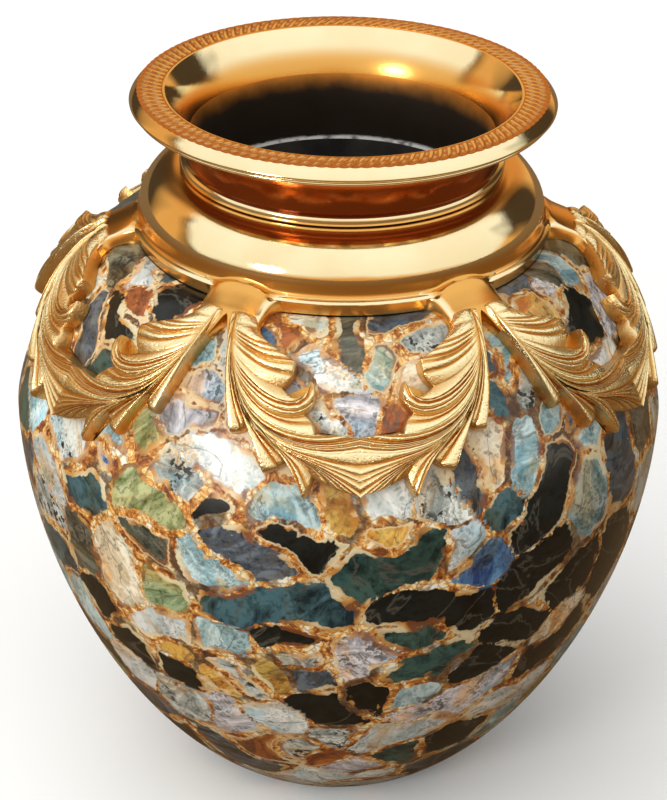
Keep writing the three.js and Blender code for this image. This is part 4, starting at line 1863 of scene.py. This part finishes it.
# A darker copper-brown copy of the polished gilt for the cove under the rim: painted shade.
COVE_SHADE = Gilt("cove_painted_shade_gilt", (0.42, 0.115, 0.032), (0.24, 0.055, 0.015), 0.12, 900.0, 0.05, 0.0002)
CAST = Gilt("leaf_gilt", (0.99, 0.89, 0.55), (0.70, 0.37, 0.09), 0.2, 1000.0, 0.5, 0.0004, reads_painted_shade=True)
CHASED = Gilt("chased_gilt", (1.0, 0.92, 0.64), (0.70, 0.29, 0.07), 0.18, 1500.0, 0.4, 0.0003, reads_painted_shade=True)
TUBE = PaintedShadeTube()


def dress(piece: bpy.types.Object, materials: list) -> None:
    """Gives a piece its materials.

    Args:
        piece: the piece.
        materials: its materials, the first one for every face that names no other.
    """
    piece.data.materials.clear()
    for material in materials:
        piece.data.materials.append(material)


# The studio


class Studio:
    """The floor, the lights and the camera."""

    def __init__(self, view: View) -> None:
        """Keeps the view.

        Args:
            view: where the camera stands.
        """
        self.view = view

    def camera(self) -> None:
        """Sets up the camera."""
        view = self.view
        lens = bpy.data.cameras.new("camera")
        lens.sensor_width = view.sensor
        lens.lens = view.focal_pixels / view.height * view.sensor
        camera = bpy.data.objects.new("camera", lens)
        camera.matrix_world = view.matrix()
        bpy.context.collection.objects.link(camera)
        bpy.context.scene.camera = camera

    def floor(self) -> None:
        """Lays the floor, which is pale to the eye and duller in the metal."""
        deselect()
        bpy.ops.mesh.primitive_plane_add(size=24, location=(0, 0, -0.0005))
        ground = bpy.context.object
        ground.name = "floor"
        material, nodes = blank_material("floor_paper")
        seen = nodes.add("LightPath").outputs["Is Camera Ray"]
        tone = nodes.blend(seen, (0.2, 0.12, 0.055), (0.96, 0.96, 0.96))
        shader = nodes.add("BsdfPrincipled", None, {"Base Color": tone, "Roughness": 0.9, "Specular IOR Level": 0.1})
        nodes.add("OutputMaterial", None, {0: shader.outputs[0]})
        dress(ground, [material])

    def softbox(self, name: str, place: tuple, size: tuple, power: float, colour: tuple = (1, 1, 1)) -> None:
        """Adds an area light that faces the pot.

        Args:
            name: the light's name.
            place: where it stands, in metres.
            size: its width and height, in metres.
            power: its power in watts.
            colour: its colour.
        """
        lamp = bpy.data.lights.new(name, "AREA")
        lamp.shape = "ELLIPSE"
        lamp.size, lamp.size_y = size
        lamp.energy = power
        lamp.color = colour
        light = bpy.data.objects.new(name, lamp)
        facing = (Vector((0, 0, 0.17)) - Vector(place)).to_track_quat("-Z", "Y").to_matrix().to_4x4()
        light.matrix_world = Matrix.Translation(place) @ facing
        bpy.context.collection.objects.link(light)

    def sky(self) -> None:
        """Sets the surroundings that the metal mirrors."""
        world = bpy.data.worlds.new("surroundings")
        world.use_nodes = True
        bpy.context.scene.world = world
        nodes = Nodes(world.node_tree)
        way = nodes.add("TexCoord").outputs["Generated"]
        split = nodes.add("SeparateXYZ", None, {0: way}).outputs
        flat = nodes.add("VectorMath", {"operation": "MULTIPLY"}, {0: way, 1: (1, 1, 0.45)}).outputs[0]
        uneven = nodes.noise(flat, 2.1, 1.6)[0]
        aside = nodes.add("VectorMath", {"operation": "ADD"}, {0: flat, 1: (7, 4, 2)}).outputs[0]
        patches = nodes.noise(aside, 1.7, 1.0)[0]
        behind = nodes.span(split[1], -0.1, 0.6, 0.14, 0.86)
        sideways = nodes.math("MULTIPLY", split[0], split[0])
        treetops = nodes.math("MULTIPLY_ADD", sideways, -0.22, behind)
        rough_edge = nodes.span(split[1], -0.7, 0.2, 0.2, 0.8)
        treetops = nodes.math("MULTIPLY_ADD", nodes.math("SUBTRACT", uneven, 0.5), rough_edge, treetops)
        above = nodes.span(nodes.math("SUBTRACT", split[2], treetops), -0.06, 0.1)
        front = nodes.span(split[1], -0.1, -0.7)
        warm = nodes.math("MAXIMUM", front, nodes.ramp(patches, [(0.40, 0.0), (0.54, 1.0)]))
        around = nodes.blend(warm, (0.07, 0.045, 0.025), (0.80, 0.42, 0.13))
        open_sky = nodes.blend(split[2], (0.98, 0.93, 0.80), (1.12, 1.10, 1.04))
        mirrored = nodes.blend(above, around, open_sky)
        light_way = (-0.6, -0.35, 0.72)
        towards_light = nodes.add("VectorMath", {"operation": "DOT_PRODUCT"}, {0: way, 1: light_way}).outputs[1]
        soft = nodes.ramp(
            nodes.math("MULTIPLY_ADD", towards_light, 0.5, 0.5),
            [(0.2, (0.12, 0.12, 0.12)), (0.6, (0.66, 0.66, 0.65)), (1.0, (1.75, 1.74, 1.7))],
        )
        rays = nodes.add("LightPath").outputs
        shade = nodes.blend(rays["Is Glossy Ray"], soft, mirrored)
        shade = nodes.blend(rays["Is Camera Ray"], shade, (0.97, 0.97, 0.97))
        background = nodes.add("Background", None, {"Color": shade, "Strength": 1.0})
        nodes.add("OutputWorld", None, {0: background.outputs[0]})

    def build(self) -> None:
        """Sets up the whole studio."""
        self.camera()
        self.floor()
        self.sky()
        self.softbox("key", (-1.15, -1.25, 0.62), (0.5, 0.42), 8, (1.0, 0.97, 0.93))
        bpy.context.scene.view_settings.view_transform = "Standard"


def main() -> None:
    """Builds the pot and its studio."""
    logging.basicConfig(level=logging.INFO, format="%(name)s: %(message)s")
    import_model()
    vessel, collar, neck, relief, view = Vessel(), Collar(), Neck(), Relief(), View()
    shell = StoneVessel(vessel).build(Mosaic(), view)
    casting = FestoonCollar(collar, vessel, relief).build()
    mouth = TurnedNeck(neck, vessel, collar).build()
    for piece, node, slot in (
        (shell, "stone_vessel", "stone"),
        (casting, "festoon_collar", "cast_gilt"),
        (mouth, "turned_neck", "turned_gilt"),
    ):
        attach(piece, "root")
        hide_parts(node)
        triangles = sum(len(face.vertices) - 2 for face in piece.data.polygons)
        log.info("%s: %d triangles", piece.name, triangles)

    Studio(view).build()


if __name__ == "__main__":
    main()
